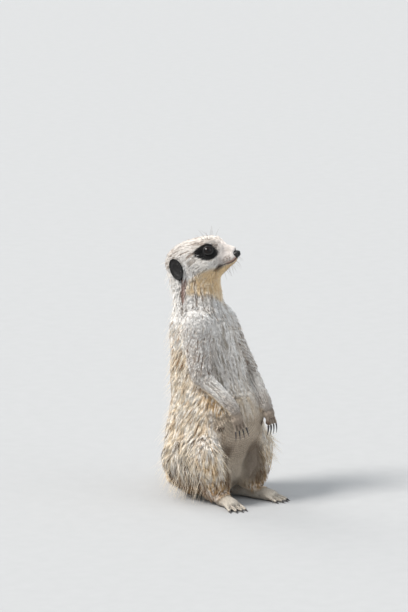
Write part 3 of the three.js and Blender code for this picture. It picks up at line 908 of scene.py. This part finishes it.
def tuft_points(root, up, tip, arch, width, short):
    """The corners of many tufts, one row of points for each tuft."""
    ahead = unit(tip - root)
    across = unit(np.cross(ahead, up))
    high = unit(np.cross(across, ahead))
    wide, tall = width[:, None] / 2, width[:, None] * 0.4
    sunk = root - up * 0.35
    feet = [sunk - across * wide, sunk + across * wide, sunk + high * tall]
    if short:
        return np.stack([*feet, tip], axis=1)
    middle = (root + tip) / 2 + up * arch[:, None]
    waist = 0.8
    rise = [
        middle - across * wide * waist - high * tall * 0.4,
        middle + across * wide * waist - high * tall * 0.4,
        middle + high * tall,
    ]
    return np.stack([*feet, *rise, tip], axis=1)


def tuft_object(name, grid, faces, along, colour, spots):
    """One piece of the coat: its tufts' corners, their colours, and their roots' places on the flat map."""
    count, corners = grid.shape[:2]
    index = (np.arange(count)[:, None, None] * corners + faces[None]).reshape(-1, 3)
    thing = object_from(name, grid.reshape(-1, 3), index)
    mesh = thing.data
    store(mesh, "coat_colour", colour.reshape(-1, 3))
    store(mesh, "along", np.tile(along, count).astype(float))
    across = np.resize((-1, 1, 0), corners)
    across[-1] = 0
    patch = np.stack([across, 2 * along - 1], axis=1) * PATCH / 2
    add_map(mesh, "OFBake", (spots[:, None] + patch[None]).reshape(-1, 2)[index.ravel()])
    return thing


def rest_on(tree, points, heights):
    """Draws points to their nearest place on the skin, and lifts them off it again."""
    result = np.empty_like(points)
    for i, (point, height) in enumerate(zip(points.tolist(), heights.tolist())):
        place, normal, _, _ = tree.find_nearest(point)
        result[i] = place + normal * height
    return result


SHORT_BELOW = 3.0  # tufts shorter than this have the plainer shape
FLOOR_CLEAR, TIP_CLEAR = 0.03, 0.15  # how far tufts and their tips keep off the floor
STRAYS = 0.1  # the share of locks that stand out
# The tint of the painted shade on the tufts: it takes away less red than blue, so the shade is warmer.
PAINTED_SHADE_TINT = np.array((0.85, 1.0, 1.14))  # shaded fur is warmer


def gather(roots, size):
    """The leader of each tuft, in locks of about so many tufts."""
    leaders = random.choice(len(roots), max(len(roots) // size, 1), replace=False)
    tree = KDTree(len(leaders))
    for i, leader in enumerate(leaders):
        tree.insert(roots[leader], i)
    tree.balance()
    return np.array([leaders[tree.find(place)[1]] for place in roots.tolist()])


def grow(points, triangles, tree, coat_at, density, strays=STRAYS):
    """Tufts all over a surface: their corners' makings, colours and places."""
    LOCK, CLUMP = 4, 26
    normals = normals_of(points, triangles)
    picks, shares = scatter(points, triangles, density)
    root = np.einsum("nk,nkc->nc", shares, points[triangles[picks]])
    up = unit(np.einsum("nk,nkc->nc", shares, normals[triangles[picks]]))
    coat = coat_at(root)
    count = len(root)
    lock, clump = gather(root, LOCK), gather(root, CLUMP)
    shaggy = ease(2.2, 8, coat.length)

    def chance():
        """A number from 0 to 1 for each tuft, and the same one for each lock and for each clump."""
        own = random.random(count)
        return own, own[lock], own[clump]

    swings = [2 * value - 1 for value in chance()]
    swing = 0.06 * swings[0] + 0.09 * swings[1] + 0.09 * swings[2] + 0.2 * grain(root, 11, 5)
    way = unit(coat.way)
    way = unit(way - up * np.sum(way * up, axis=1, keepdims=True))
    way = unit(way + np.cross(up, way) * swing[:, None])

    own, of_lock, of_clump = chance()
    streak = ranked(coat.streaks(1.3, 26, 6) + 0.15 * of_lock + 0.12 * own)
    is_dark = streak < coat.dark_share * (0.5 + of_clump)
    own, of_lock, of_clump = chance()
    tone = ranked(coat.streaks(1.5, 30, 7) + 0.15 * of_lock + 0.1 * own)
    thick = ease(1.4, 3.8, coat.depth)

    own, of_lock, of_clump = chance()
    stray = of_lock < strays
    length = coat.length * (0.75 + 0.25 * own + 0.2 * of_lock + 0.1 * of_clump)
    rise = 0.3 + 0.12 * own + 0.12 * random.random(count)[lock] + 0.1 * of_clump
    rise = rise + 0.35 * np.where(is_dark, -0.5, tone)
    lift = coat.depth * np.where(stray, 1.35, rise)
    tip = rest_on(tree, root + way * length[:, None], lift)
    pull = 0.1 + 0.4 * thick
    tip = tip + (tip[lock] - tip) * pull[:, None]
    tip[:, 2] = np.maximum(tip[:, 2], TIP_CLEAR)
    width = coat.width * random.uniform(0.75, 1.2, count) * np.where(stray, 0.75, 1)

    colour = coat.colour + (coat.dark - coat.colour) * (is_dark * (0.4 + 0.45 * shaggy))[:, None]
    pale = ease(0.2, 0.6, coat.colour.mean(axis=1))
    # Whitens the tufts high in the tone streaks, which also stand highest: partly the hair's own pale tips,
    # partly a painted highlight.
    pale_tip_and_highlight = (0.65 * ease(0.45, 0.8, tone) * shaggy * pale * ~is_dark)[:, None]
    colour = colour + (WHITE - colour) * pale_tip_and_highlight
    # Darkens the tufts low in the tone streaks, which also lie lowest: partly the coat's own varying tone,
    # partly painted shade deep in the coat, more where it is thick.
    dim_tone_and_shade = (0.06 + 0.1 * shaggy + 0.24 * thick) * (1 - ease(0, 0.5, tone))
    colour = colour * (1 - dim_tone_and_shade[:, None] * PAINTED_SHADE_TINT)
    colour = np.minimum(colour, coat.colour * 1.05 + 0.4 * ease(0.1, 0.3, coat.colour))
    return {
        "root": root,
        "up": up,
        "tip": tip,
        "arch": 0.4 * lift,
        "width": width,
        "colour": colour,
        # Painted shade at the tufts' roots, deep in the coat, more where it is long and thick.
        "root_dark": 0.2 * shaggy + 0.12 * thick,
        "short": coat.length < SHORT_BELOW,
        "bone": coat.nearest,
    }


def coat_pieces(name, tufts, chosen, slot, coat_at):
    """The chosen tufts as one piece, with another for those short enough for a plainer shape."""
    for short in (False, True):
        some = chosen & (tufts["short"] == short)
        if not some.any():
            continue
        part = {key: value[some] for key, value in tufts.items()}
        grid = tuft_points(part["root"], part["up"], part["tip"], part["arch"], part["width"], short)
        grid[..., 2] = np.maximum(grid[..., 2], FLOOR_CLEAR)
        faces, along = (SHORT_FACES, SHORT_ALONG) if short else (TUFT_FACES, TUFT_ALONG)
        coat = coat_at(part["root"])
        colours = np.repeat(part["colour"][:, None], grid.shape[1], axis=1)
        for i, place in enumerate(along):
            dark = ticks(grid[:, i], coat)[:, None] if place > 0 else 0
            colours[:, i] += (np.minimum(coat.dark, colours[:, i]) - colours[:, i]) * dark
            # Painted shade darkens each tuft towards its root.
            root_dark = part["root_dark"] * (1 - ease(0, 0.5, place))
            colours[:, i] *= 1 - root_dark[:, None] * PAINTED_SHADE_TINT
        full_name = name + ("_short" if short else "")
        dress(tuft_object(full_name, grid, faces, along, colours, unwrap(coat)), "coat", slot)


def tree_of(points, triangles):
    return BVHTree.FromPolygons(points.tolist(), triangles.tolist())


def make_coat(skin):
    points, triangles = points_of(skin.data), triangles_of(skin.data)
    centres = points[triangles].mean(axis=1)
    density = Coat(centres).density * (bare(centres) < 0.5) * 1
    tufts = grow(points, triangles, tree_of(points, triangles), Coat, density)
    endings = {0: "", **{side: f"_{name}" for side, name in SIDE_NAMES.items()}}
    pieces = np.array([REGIONS[bone[0]][7] + endings[bone[5]] for bone in BONES])[tufts["bone"]]
    for name in sorted(set(pieces)):
        slot = "face_coat" if name.startswith(("face", "head")) else "coat"
        coat_pieces(f"coat_{name}", tufts, pieces == name, slot, Coat)


# ------------------------------------------------------------------ materials


def add(tree, kind, inputs=None, **settings):
    node = tree.nodes.new(kind)
    for key, value in settings.items():
        setattr(node, key, value)
    for key, value in (inputs or {}).items():
        if isinstance(value, bpy.types.NodeSocket):
            tree.links.new(value, node.inputs[key])
        else:
            node.inputs[key].default_value = value
    return node


def new_material(name):
    material = bpy.data.materials.new(name)
    material.use_nodes = True
    tree = material.node_tree
    return material, tree, tree.nodes["Principled BSDF"]


def ramp(tree, value, *stops):
    node = add(tree, "ShaderNodeValToRGB", {"Fac": value})
    elements = node.color_ramp.elements
    while len(elements) < len(stops):
        elements.new(0.5)
    for element, (place, colour) in zip(elements, stops):
        element.position = place
        element.color = (*colour, 1) if np.ndim(colour) else (colour, colour, colour, 1)
    return node.outputs["Color"]


def multiply(tree, a, b, factor=1.0):
    node = add(tree, "ShaderNodeMix", data_type="RGBA", blend_type="MULTIPLY")
    node.inputs[0].default_value = factor
    tree.links.new(a, node.inputs[6])
    tree.links.new(b, node.inputs[7])
    return node.outputs[2]


def noise(tree, vector, scale, detail=3.0):
    inputs = {"Vector": vector, "Scale": scale, "Detail": detail}
    return add(tree, "ShaderNodeTexNoise", inputs).outputs["Fac"]


def stored(tree, name, output="Fac"):
    """What the mesh keeps under a name for each vertex."""
    return add(tree, "ShaderNodeAttribute", attribute_name=name).outputs[output]


def place_on(tree):
    return add(tree, "ShaderNodeTexCoord").outputs["Object"]


def spread(tree, value, low, high):
    return add(tree, "ShaderNodeMapRange", {"Value": value, "To Min": low, "To Max": high}).outputs["Result"]


def bump(tree, shader, height, distance, strength=1.0):
    node = add(tree, "ShaderNodeBump", {"Height": height, "Distance": distance, "Strength": strength})
    tree.links.new(node.outputs["Normal"], shader.inputs["Normal"])


def coat_material():
    material, tree, shader = new_material("coat_hair")
    colour = stored(tree, "coat_colour", "Color")
    along = stored(tree, "along")
    place = place_on(tree)
    # Each tuft darkens towards its root, which is painted shade deep in the coat, and a little towards its
    # tip.
    colour = multiply(tree, colour, ramp(tree, along, (0, 0.8), (0.4, 0.97), (0.75, 1.0), (1, 0.96)))
    fine = noise(tree, place, 900)
    colour = multiply(tree, colour, ramp(tree, fine, (0.3, 0.9), (0.7, 1.0)))
    tree.links.new(colour, shader.inputs["Base Color"])
    tree.links.new(spread(tree, fine, 0.6, 0.85), shader.inputs["Roughness"])
    tree.links.new(colour, shader.inputs["Sheen Tint"])
    shader.inputs["Sheen Weight"].default_value = 0.35
    shader.inputs["Sheen Roughness"].default_value = 0.5
    bump(tree, shader, noise(tree, place, 2600), 0.0001, 0.4)
    return material


def skin_material():
    material, tree, shader = new_material("short_coat")
    colour = stored(tree, "coat_colour", "Color")
    lie = add(tree, "ShaderNodeUVMap", uv_map="lie").outputs["UV"]
    strands = add(tree, "ShaderNodeMapping", {"Vector": lie, "Scale": (24, 3.2, 1)}).outputs["Vector"]
    hair = noise(tree, strands, 1.0, 4.0)
    colour = multiply(tree, colour, ramp(tree, hair, (0.28, 0.62), (0.62, 1.0)))
    tree.links.new(colour, shader.inputs["Base Color"])
    tree.links.new(spread(tree, hair, 0.65, 0.9), shader.inputs["Roughness"])
    shader.inputs["Sheen Weight"].default_value = 0.2
    bump(tree, shader, hair, 0.0005, 0.8)
    return material


def floor_material():
    material, tree, shader = new_material("pale_floor")
    place = place_on(tree)
    grains = noise(tree, place, 60)
    tree.links.new(ramp(tree, grains, (0.3, 0.37), (0.7, 0.385)), shader.inputs["Base Color"])
    tree.links.new(spread(tree, grains, 0.8, 0.95), shader.inputs["Roughness"])
    return material


def eye_material():
    material, tree, shader = new_material("eye_glass")
    polar = stored(tree, "polar")
    wide = stored(tree, "wide")
    place = place_on(tree)
    mottle = noise(tree, place, 1800)
    pupil = add(tree, "ShaderNodeMath", {0: wide, 1: 0.045}, operation="MULTIPLY").outputs[0]
    edge = add(tree, "ShaderNodeMath", {0: polar, 1: pupil}, operation="SUBTRACT").outputs[0]
    iris, dark = shade("#1c110c"), shade("#0b0706")
    stops = [(0.07, BLACK * 0.3), (0.085, iris), (0.19, iris * 0.6), (0.215, dark), (0.3, dark)]
    colour = ramp(tree, edge, *stops)
    colour = multiply(tree, colour, ramp(tree, mottle, (0.3, 0.5), (0.7, 1.0)))
    tree.links.new(colour, shader.inputs["Base Color"])
    tree.links.new(spread(tree, mottle, 0.12, 0.22), shader.inputs["Roughness"])
    shader.inputs["Specular IOR Level"].default_value = 0.15
    shader.inputs["Coat Weight"].default_value = 0.25
    shader.inputs["Coat Roughness"].default_value = 0.03
    return material


def hide_material(name, colour, pore_size, rough, bump_height):
    """Bare skin: mottled, pored, and a little moist."""
    material, tree, shader = new_material(name)
    place = place_on(tree)
    mottle = noise(tree, place, 0.3 / pore_size)
    pores = add(tree, "ShaderNodeTexVoronoi", {"Vector": place, "Scale": 1 / pore_size}).outputs["Distance"]
    low, high = colour * 0.6, np.minimum(colour * 1.5, 1)
    tree.links.new(ramp(tree, mottle, (0.3, low), (0.7, high)), shader.inputs["Base Color"])
    tree.links.new(spread(tree, mottle, rough - 0.08, rough + 0.1), shader.inputs["Roughness"])
    bump(tree, shader, pores, bump_height, 0.8)
    return material


def claw_material():
    material, tree, shader = new_material("claw_horn")
    along = stored(tree, "along")
    place = place_on(tree)
    grains = noise(tree, place, 1500, 5.0)
    colour = ramp(tree, along, (0, shade("#4a4341")), (0.5, shade("#2c2a2c")), (0.9, shade("#5b5654")))
    colour = multiply(tree, colour, ramp(tree, grains, (0.3, 0.65), (0.7, 1.0)))
    tree.links.new(colour, shader.inputs["Base Color"])
    tree.links.new(spread(tree, grains, 0.25, 0.45), shader.inputs["Roughness"])
    bump(tree, shader, grains, 0.00008, 0.6)
    return material


materials = {
    "coat": coat_material(),
    "skin": skin_material(),
    "eye": eye_material(),
    "lid": hide_material("lid_skin", BLACK, 0.0004, 0.42, 0.0001),
    "nose": hide_material("nose_leather", BLACK * 1.2, 0.0006, 0.36, 0.00025),
    "ear": hide_material("ear_skin", BLACK * 0.7, 0.0005, 0.7, 0.0001),
    "claw": claw_material(),
}


# ------------------------------------------------------------------ stage, light and camera

CAMERA_AZIMUTH, CAMERA_ELEVATION = -45, 10
CAMERA_FAR = 4500
PICTURE_TALL = 612
PICTURE_MIDDLE = (204, 306)
ORIGIN_PIXEL = (212, 497)  # where the floor under the spine shows, with 1 mm to a pixel
SENSOR = 36


def way_out(azimuth, elevation):
    """The way to what is seen so many degrees round from the front and so many above the floor."""
    azimuth, elevation = np.radians((azimuth, elevation))
    level = np.cos(elevation)
    return np.array((np.sin(azimuth) * level, -np.cos(azimuth) * level, np.sin(elevation)))


def make_camera():
    back = way_out(CAMERA_AZIMUTH, CAMERA_ELEVATION)
    azimuth = np.radians(CAMERA_AZIMUTH)
    right = np.array((np.cos(azimuth), np.sin(azimuth), 0))
    up = np.cross(back, right)
    middle = at((0, 0, 0)) + right * (PICTURE_MIDDLE[0] - ORIGIN_PIXEL[0])
    middle = middle + np.array((0, 0, 1)) * (ORIGIN_PIXEL[1] - PICTURE_MIDDLE[1]) / up[2]
    data = bpy.data.cameras.new("camera")
    data.sensor_width = SENSOR
    data.lens = SENSOR * CAMERA_FAR / PICTURE_TALL
    data.clip_start, data.clip_end = 0.05, 100
    camera = bpy.data.objects.new("camera", data)
    camera.location = (middle + back * CAMERA_FAR) * MM
    camera.rotation_mode = "QUATERNION"
    camera.rotation_quaternion = Vector(-back).to_track_quat("-Z", "Y")
    bpy.context.scene.collection.objects.link(camera)
    bpy.context.scene.camera = camera


def make_floor():
    RADIUS, SIDES = 12000, 96
    turn = np.linspace(0, 2 * np.pi, SIDES, endpoint=False)
    rim = np.stack([np.cos(turn) * RADIUS, np.sin(turn) * RADIUS, 0 * turn], axis=1)
    floor = object_from("floor", rim, [list(range(SIDES))], smooth=False)
    floor.data.materials.append(floor_material())


def make_light(name, azimuth, elevation, strength, soft, colour):
    """A far soft light, as wide as soft degrees."""
    away = way_out(azimuth, elevation)
    data = bpy.data.lights.new(name, "SUN")
    data.energy = strength
    data.angle = np.radians(soft)
    data.color = colour
    light = bpy.data.objects.new(name, data)
    light.location = Vector(away) * 2
    light.rotation_mode = "QUATERNION"
    light.rotation_quaternion = Vector(away).to_track_quat("Z", "Y")
    bpy.context.scene.collection.objects.link(light)


def make_stage():
    make_floor()
    make_light("key", -116, 50, 4.3, 20, (1.0, 0.975, 0.94))
    make_light("rim", 170, 38, 0.9, 30, (1.0, 0.98, 0.95))
    make_light("fill", 20, 30, 0.5, 50, (0.95, 0.98, 1.0))
    world = bpy.data.worlds.new("studio")
    world.use_nodes = True
    sky = world.node_tree.nodes["Background"].inputs
    sky["Color"].default_value = (0.86, 0.93, 1.0, 1)
    sky["Strength"].default_value = 0.75
    bpy.context.scene.world = world
    bpy.context.scene.view_settings.view_transform = "Standard"


# ------------------------------------------------------------------ shapes with their own form


def rounds(rows, columns, shape):
    """A closed surface of rings between two poles. shape(share, turn) places each ring's points."""
    turn = np.linspace(0, 2 * np.pi, columns, endpoint=False)
    rings = [shape(np.full(columns, share), turn) for share in np.linspace(0, 1, rows + 2)[1:-1]]
    first, last = shape(np.zeros(1), np.zeros(1))[0], shape(np.ones(1), np.zeros(1))[0]
    points = np.concatenate([[first], *rings, [last]])
    after = (np.arange(columns) + 1) % columns
    faces = []
    for j in range(columns):
        k = after[j]
        faces.append((0, 1 + k, 1 + j))
        for i in range(rows - 1):
            low, high = 1 + i * columns, 1 + (i + 1) * columns
            faces.append((low + j, low + k, high + k, high + j))
        low = 1 + (rows - 1) * columns
        faces.append((low + j, low + k, len(points) - 1))
    return points, faces


def dress(piece, material, slot, *nodes):
    """A piece's material, and what it tells the frame: its body and the nodes it replaces. slot is not used.
    """
    piece.data.materials.append(materials[material])
    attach(piece, "root")
    if nodes:
        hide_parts(*nodes)
    return piece


def outward(points, faces):
    """The faces turned round if they look inwards."""
    centre = points.mean(axis=0)
    volume = 0
    for face in faces:
        a, b, c = (points[i] - centre for i in face[:3])
        volume += a @ np.cross(b, c)
    return faces if volume > 0 else [tuple(reversed(face)) for face in faces]


def make_eye(side):
    CORNEA, CORNEA_WIDE = 0.05, np.radians(36)
    look, up, across = eye_axes(side)
    centre = node_middle(f"eye_{SIDE_NAMES[side]}")

    def shape(share, turn):
        angle = share * np.pi
        radius = EYE_RADIUS * (1 + CORNEA * np.exp(-((angle / CORNEA_WIDE) ** 2)))
        ring = np.cos(turn)[:, None] * across + np.sin(turn)[:, None] * up
        ways = np.cos(angle)[:, None] * look + np.sin(angle)[:, None] * ring
        return centre + ways * radius[:, None]

    points, faces = rounds(30, 40, shape)
    eye = object_from(f"eyeball_{SIDE_NAMES[side]}", points, outward(points, faces))
    offset = unit(points - centre)
    store(eye.data, "polar", np.arccos(np.clip(offset @ look, -1, 1)) / np.pi)
    store(eye.data, "wide", np.abs(offset @ across))
    dress(eye, "eye", "eye", f"eye_{SIDE_NAMES[side]}")


# The lid's section: how much wider than the open eye, in radians, and how far out of the eyeball.
LID_SECTION = [
    (-0.03, -0.5),
    (0.0, 0.3),
    (0.05, 0.62),
    (0.13, 0.85),
    (0.24, 0.9),
    (0.36, 0.55),
    (0.42, -0.3),
    (0.2, -0.8),
]


def make_lid(side):
    COLUMNS = 72
    look, up, across = eye_axes(side)
    centre = node_middle(f"eye_{SIDE_NAMES[side]}")
    turn = np.linspace(0, 2 * np.pi, COLUMNS, endpoint=False)
    ring = np.cos(turn)[:, None] * across + np.sin(turn)[:, None] * up
    rows = []
    for wider, out in LID_SECTION:
        angle = (lid_rim(turn) + wider)[:, None]
        rows.append(centre + (np.cos(angle) * look + np.sin(angle) * ring) * (EYE_RADIUS + out))
    points = np.concatenate(rows)
    faces = []
    for i in range(len(rows)):
        low, high = i * COLUMNS, (i + 1) % len(rows) * COLUMNS
        for j in range(COLUMNS):
            k = (j + 1) % COLUMNS
            faces.append((low + j, low + k, high + k, high + j))
    if side < 0:
        faces = [tuple(reversed(face)) for face in faces]
    lid = object_from(f"eyelid_{SIDE_NAMES[side]}", points, faces)
    smooth = lid.modifiers.new("round", "SUBSURF")
    smooth.levels = smooth.render_levels = 1
    dress(lid, "lid", "face_coat")


# The hollows of a nostril: the way to each from the pad's middle, its width and its depth.
NOSTRILS = [((0.42, 0.86, -0.1), 0.26, 1.3), ((0.78, 0.6, -0.22), 0.2, 0.9), ((0.62, 0.74, -0.2), 0.18, 0.9)]


def make_nose():
    def shape(share, turn):
        angle = share * np.pi
        ways = np.stack([np.sin(angle) * np.cos(turn), np.cos(angle), np.sin(angle) * np.sin(turn)], axis=1)
        groove = np.exp(-((ways[:, 0] / 0.07) ** 2))
        press = 0.45 * groove * ease(0.25, -0.2, ways[:, 2]) * ease(0, 0.5, ways[:, 1])
        for place, wide, deep in NOSTRILS:
            far = np.linalg.norm(mirrored(ways) - unit(place), axis=1)
            press = press + deep * np.exp(-((far / wide) ** 2))
        pad = ways * NOSE_RADII * (1 - 0.12 * ease(0.3, 1, ways[:, 2]))[:, None]
        return in_head(NOSE_AT + pad - ways * press[:, None])

    points, faces = rounds(44, 64, shape)
    nose = object_from("nose_pad", points, outward(points, faces))
    dress(nose, "nose", "nose", "nose")


EAR_SIZE = (6.8, 11.2)  # half its width and half its height


def ear_surface(side):
    THICK = 1.5

    def shape(share, turn):
        # The first half of the way runs over the hollow front, the second half back behind it.
        front = share <= 0.5
        reach = np.where(front, share, 1 - share) * 2
        back, high = np.cos(turn), np.sin(turn)
        bowl = -2.6 * (1 - reach**2.4)
        stand = reach**2 * (1.5 * ease(-0.3, 0.9, back) - 1.4 * ease(0.0, 0.9, -back))
        ridge = 0.9 * np.exp(-(((reach - 0.62) / 0.13) ** 2)) * ease(-0.2, 0.6, back) * front
        behind = np.where(front, 0, -THICK * (1 - reach**6) - 3.0 * (1 - reach**1.5))
        out = bowl + stand + ridge + behind
        local = np.stack([out + 1.2, back * reach * EAR_SIZE[0], high * reach * EAR_SIZE[1]], axis=1)
        placed = flip(EAR_AT) + local @ EAR_AXES.T
        return HEAD_ORIGIN + (placed * (side, 1, 1)) @ HEAD_AXES.T

    points, faces = rounds(35, 48, shape)
    return points, outward(points, faces)


def make_ear(side):
    points, faces = ear_surface(side)
    name = SIDE_NAMES[side]
    ear = object_from(f"ear_{name}_skin", points, faces)
    dress(ear, "ear", "ear", f"ear_{name}")
    triangles = triangles_of(ear.data)
    middle = HEAD_ORIGIN + (flip(EAR_AT) * (side, 1, 1)) @ HEAD_AXES.T

    def fuzz(root):
        coat = Coat(root)
        coat.way = unit(root - middle) + 0.6 * way_in_head((0.3 * side, -1, 0))
        coat.length, coat.depth, coat.width = np.full((3, len(root)), ((2.9,), (0.5,), (0.4,)))
        coat.colour = np.tile(BLACK * 0.7, (len(root), 1))
        coat.dark, coat.dark_share = coat.colour * 0.6, np.full(len(root), 0.3)
        coat.region_weights[:] = 0
        return coat

    density = np.full(len(triangles), 2.2)
    tufts = grow(points, triangles, tree_of(points, triangles), fuzz, density, 0)
    coat_pieces(f"coat_ear_{name}", tufts, np.full(len(tufts["root"]), True), "ear", fuzz)


def tubes(name, paths, radii, sides):
    """Many thin tubes as one mesh, each closed at both ends. radii is one row for each path."""
    turn = np.linspace(0, 2 * np.pi, sides, endpoint=False)
    points, faces = [], []
    for path, row in zip(paths, radii):
        first, count = sum(map(len, points)), len(path)
        ahead = unit(np.gradient(path, axis=0))
        across = unit(np.cross(ahead, (0.23, 0.71, 0.31)))
        high = np.cross(ahead, across)
        rings = path[:, None] + row[:, None, None] * (
            np.cos(turn)[None, :, None] * across[:, None] + np.sin(turn)[None, :, None] * high[:, None]
        )
        points.append(rings.reshape(-1, 3))
        for i in range(count - 1):
            for j in range(sides):
                a, b = first + i * sides + j, first + i * sides + (j + 1) % sides
                faces.append((a, b, b + sides, a + sides))
        faces.append(tuple(first + j for j in reversed(range(sides))))
        faces.append(tuple(first + (count - 1) * sides + j for j in range(sides)))
    return object_from(name, np.concatenate(points), faces)


def hairs(name, roots, ways, lengths, radius, droop, colour, slot):
    """Long single hairs that taper to a point and bend down."""
    STEPS, SIDES = 7, 4
    share = np.linspace(0, 1, STEPS)
    paths = [
        root + way * length * share[:, None] + np.array((0, 0, -droop)) * (length * share**2)[:, None]
        for root, way, length in zip(roots, unit(ways), lengths)
    ]
    for path in paths:
        path[:, 2] = np.maximum(path[:, 2], 2 * radius)
    radii = [radius * (1 - 0.85 * share)] * len(paths)
    piece = tubes(name, paths, radii, SIDES)
    corners = STEPS * SIDES
    store(piece.data, "coat_colour", np.tile(colour, (len(paths) * corners, 1)))
    store(piece.data, "along", np.full(len(paths) * corners, 0.6))
    spots = np.repeat(unwrap(Coat(np.array(roots))), corners, axis=0)
    index = corners_of(piece.data)
    spread_out = (index[:, None] % corners // (SIDES, 1) % (STEPS, SIDES)) / (STEPS, SIDES) * PATCH
    add_map(piece.data, "OFBake", spots[index] + spread_out)
    return dress(piece, "coat", slot)


def make_face_hairs(tree):
    """The whiskers of the muzzle, and the long hairs of the brows, cheeks and chin."""
    roots, ways, lengths = [], [], []

    def hair(root, way, length):
        roots.append(tree.find_nearest(in_head(root))[0])
        ways.append(way_in_head(np.array(way) + random.normal(0, 0.1, 3)))
        lengths.append(length * random.uniform(0.75, 1.1))

    for side in SIDE_NAMES:
        for ahead, above in WHISKER_ROOTS:
            hair((5 * side, ahead, above), (1.0 * side, 0.25, -0.45), 17)
        for ahead, above in ((13, 15), (15, 15), (17, 14.5), (19, 14)):
            hair((8.5 * side, ahead, above), (0.35 * side, 0.35 * (ahead - 15.5) / 2, 1), 16.5)
        for ahead, above in ((2, -10), (-2, -12)):
            hair((19 * side, ahead, above), (1.0 * side, -0.6, -0.5), 11)
        for ahead in (20, 25, 30):
            hair((2.5 * side, ahead, -18), (0.3 * side, 0.2, -1), 9)
    roots = np.array([list(root) for root in roots])
    hairs("whiskers", roots, ways, lengths, 0.15, 0.25, HAIR_BROWN, "face_coat")


def make_ear_wisps(tree):
    """Pale hairs that lie back across the front edge of each ear."""
    for side, name in SIDE_NAMES.items():
        roots, ways, lengths = [], [], []
        for _ in range(70):
            share = random.random()
            place = in_head(np.array((22 * side, -10 - 3 * share, -2 - 11 * share)))
            roots.append(list(tree.find_nearest(place)[0]))
            ways.append(way_in_head((0.55 * side, -1, -0.15 - 0.75 * share) + random.normal(0, 0.12, 3)))
            lengths.append(random.uniform(3, 6.5) * (0.6 + 0.5 * share))
        hairs(f"ear_wisps_{name}", np.array(roots), ways, lengths, 0.2, 0.1, WHITE, "face_coat")


def make_lips(tree):
    STEPS = 60
    half = np.array(MOUTH)
    line = np.concatenate([half[::-1] * (-1, 1, 1), half])
    stations = np.linspace(0, len(line) - 1, STEPS)
    path = [np.interp(stations, np.arange(len(line)), values) for values in line.T]
    path = np.stack(path, axis=1)
    laid = []
    for place in in_head(path):
        spot, normal, _, _ = tree.find_nearest(place)
        laid.append(spot + normal * 0.15)
    laid = np.array([list(place) for place in laid])
    laid[1:-1] = (laid[:-2] + 2 * laid[1:-1] + laid[2:]) / 4
    radii = 0.5 * np.sin(np.linspace(0.12, np.pi - 0.12, STEPS)) ** 0.4
    dress(tubes("lips", [laid], [radii], 8), "lid", "nose")


def make_claw(node):
    """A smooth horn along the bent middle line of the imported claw."""
    ROWS, COLUMNS = 14, 14
    BASE, TIP = 1.2, 0.16
    points = points_of(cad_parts[node].data)
    paw = node_middle(node.replace("claw_", "")[:-2])
    centre = points.mean(axis=0)
    axis = np.linalg.svd(points - centre)[2][0]
    if (centre - paw) @ axis < 0:
        axis = -axis
    share = (points - centre) @ axis
    low, high = share.min(), share.max()
    powers = np.stack([np.ones_like(share), share, share**2], axis=1)
    bend, _, _, _ = np.linalg.lstsq(powers, points, rcond=None)

    def middle(place):
        return np.array((1, place, place**2)) @ bend

    side = unit(np.cross(axis, (0, 0, 1.0)))
    high_way = np.cross(side, axis)

    def shape(along, turn):
        place = low - 0.8 + (high - low + 0.8) * along
        round_ends = np.sqrt(np.clip(along / 0.04, 0, 1) * np.clip((1 - along) / 0.03, 0, 1))
        radius = (BASE + (TIP - BASE) * along**1.2) * round_ends
        centres = np.array([middle(p) for p in place])
        ring = np.cos(turn)[:, None] * side * 0.72 + np.sin(turn)[:, None] * high_way
        spots = centres + ring * radius[:, None]
        spots[:, 2] = np.maximum(spots[:, 2], 0.02)
        return spots

    spots, faces = rounds(ROWS, COLUMNS, shape)
    claw = object_from("horn_" + node, spots, outward(spots, faces))
    store(claw.data, "along", np.clip(((spots - centre) @ axis - low) / (high - low), 0, 1))
    dress(claw, "claw", "claw", node)


def make_long_hairs(skin, tree):
    """Single hairs that stand out from the knees, the back and the haunches."""
    points, triangles = points_of(skin.data), triangles_of(skin.data)
    normals = normals_of(points, triangles)
    centres = points[triangles].mean(axis=1)
    coat = Coat(centres)
    up = body_measure(centres)[:, 2]
    knees = coat.share_of("knee", "haunch") * ease(34, 46, up) * ease(18, 28, body_measure(centres)[:, 1])
    backs = coat.share_of("back", "flank", "haunch", "rump", "nape")
    arms = coat.share_of("fringe", "upper_arm")
    picks, _ = scatter(points, triangles, 0.10 * knees + 0.03 * backs + 0.02 * arms)
    roots = centres[picks]
    outs = normals[triangles[picks, 0]]
    away = 0.55 + 0.5 * knees[picks]
    ways = unit(coat.way[picks]) + outs * away[:, None] + random.normal(0, 0.15, (len(picks), 3))
    lengths = coat.length[picks] * random.uniform(1.0, 1.5, len(picks))
    hairs("long_hairs", roots, ways, lengths, 0.17, 0.12, CREAM, "coat")


# ------------------------------------------------------------------ the whole animal

make_camera()
make_stage()
skin = make_skin()
make_coat(skin)
skin_tree = tree_of(points_of(skin.data), triangles_of(skin.data))
for side in SIDE_NAMES:
    make_eye(side)
    make_lid(side)
    make_ear(side)
make_nose()
make_lips(skin_tree)
make_face_hairs(skin_tree)
make_ear_wisps(skin_tree)
make_long_hairs(skin, skin_tree)
for node in sorted(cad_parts):
    if node.startswith("claw_"):
        make_claw(node)
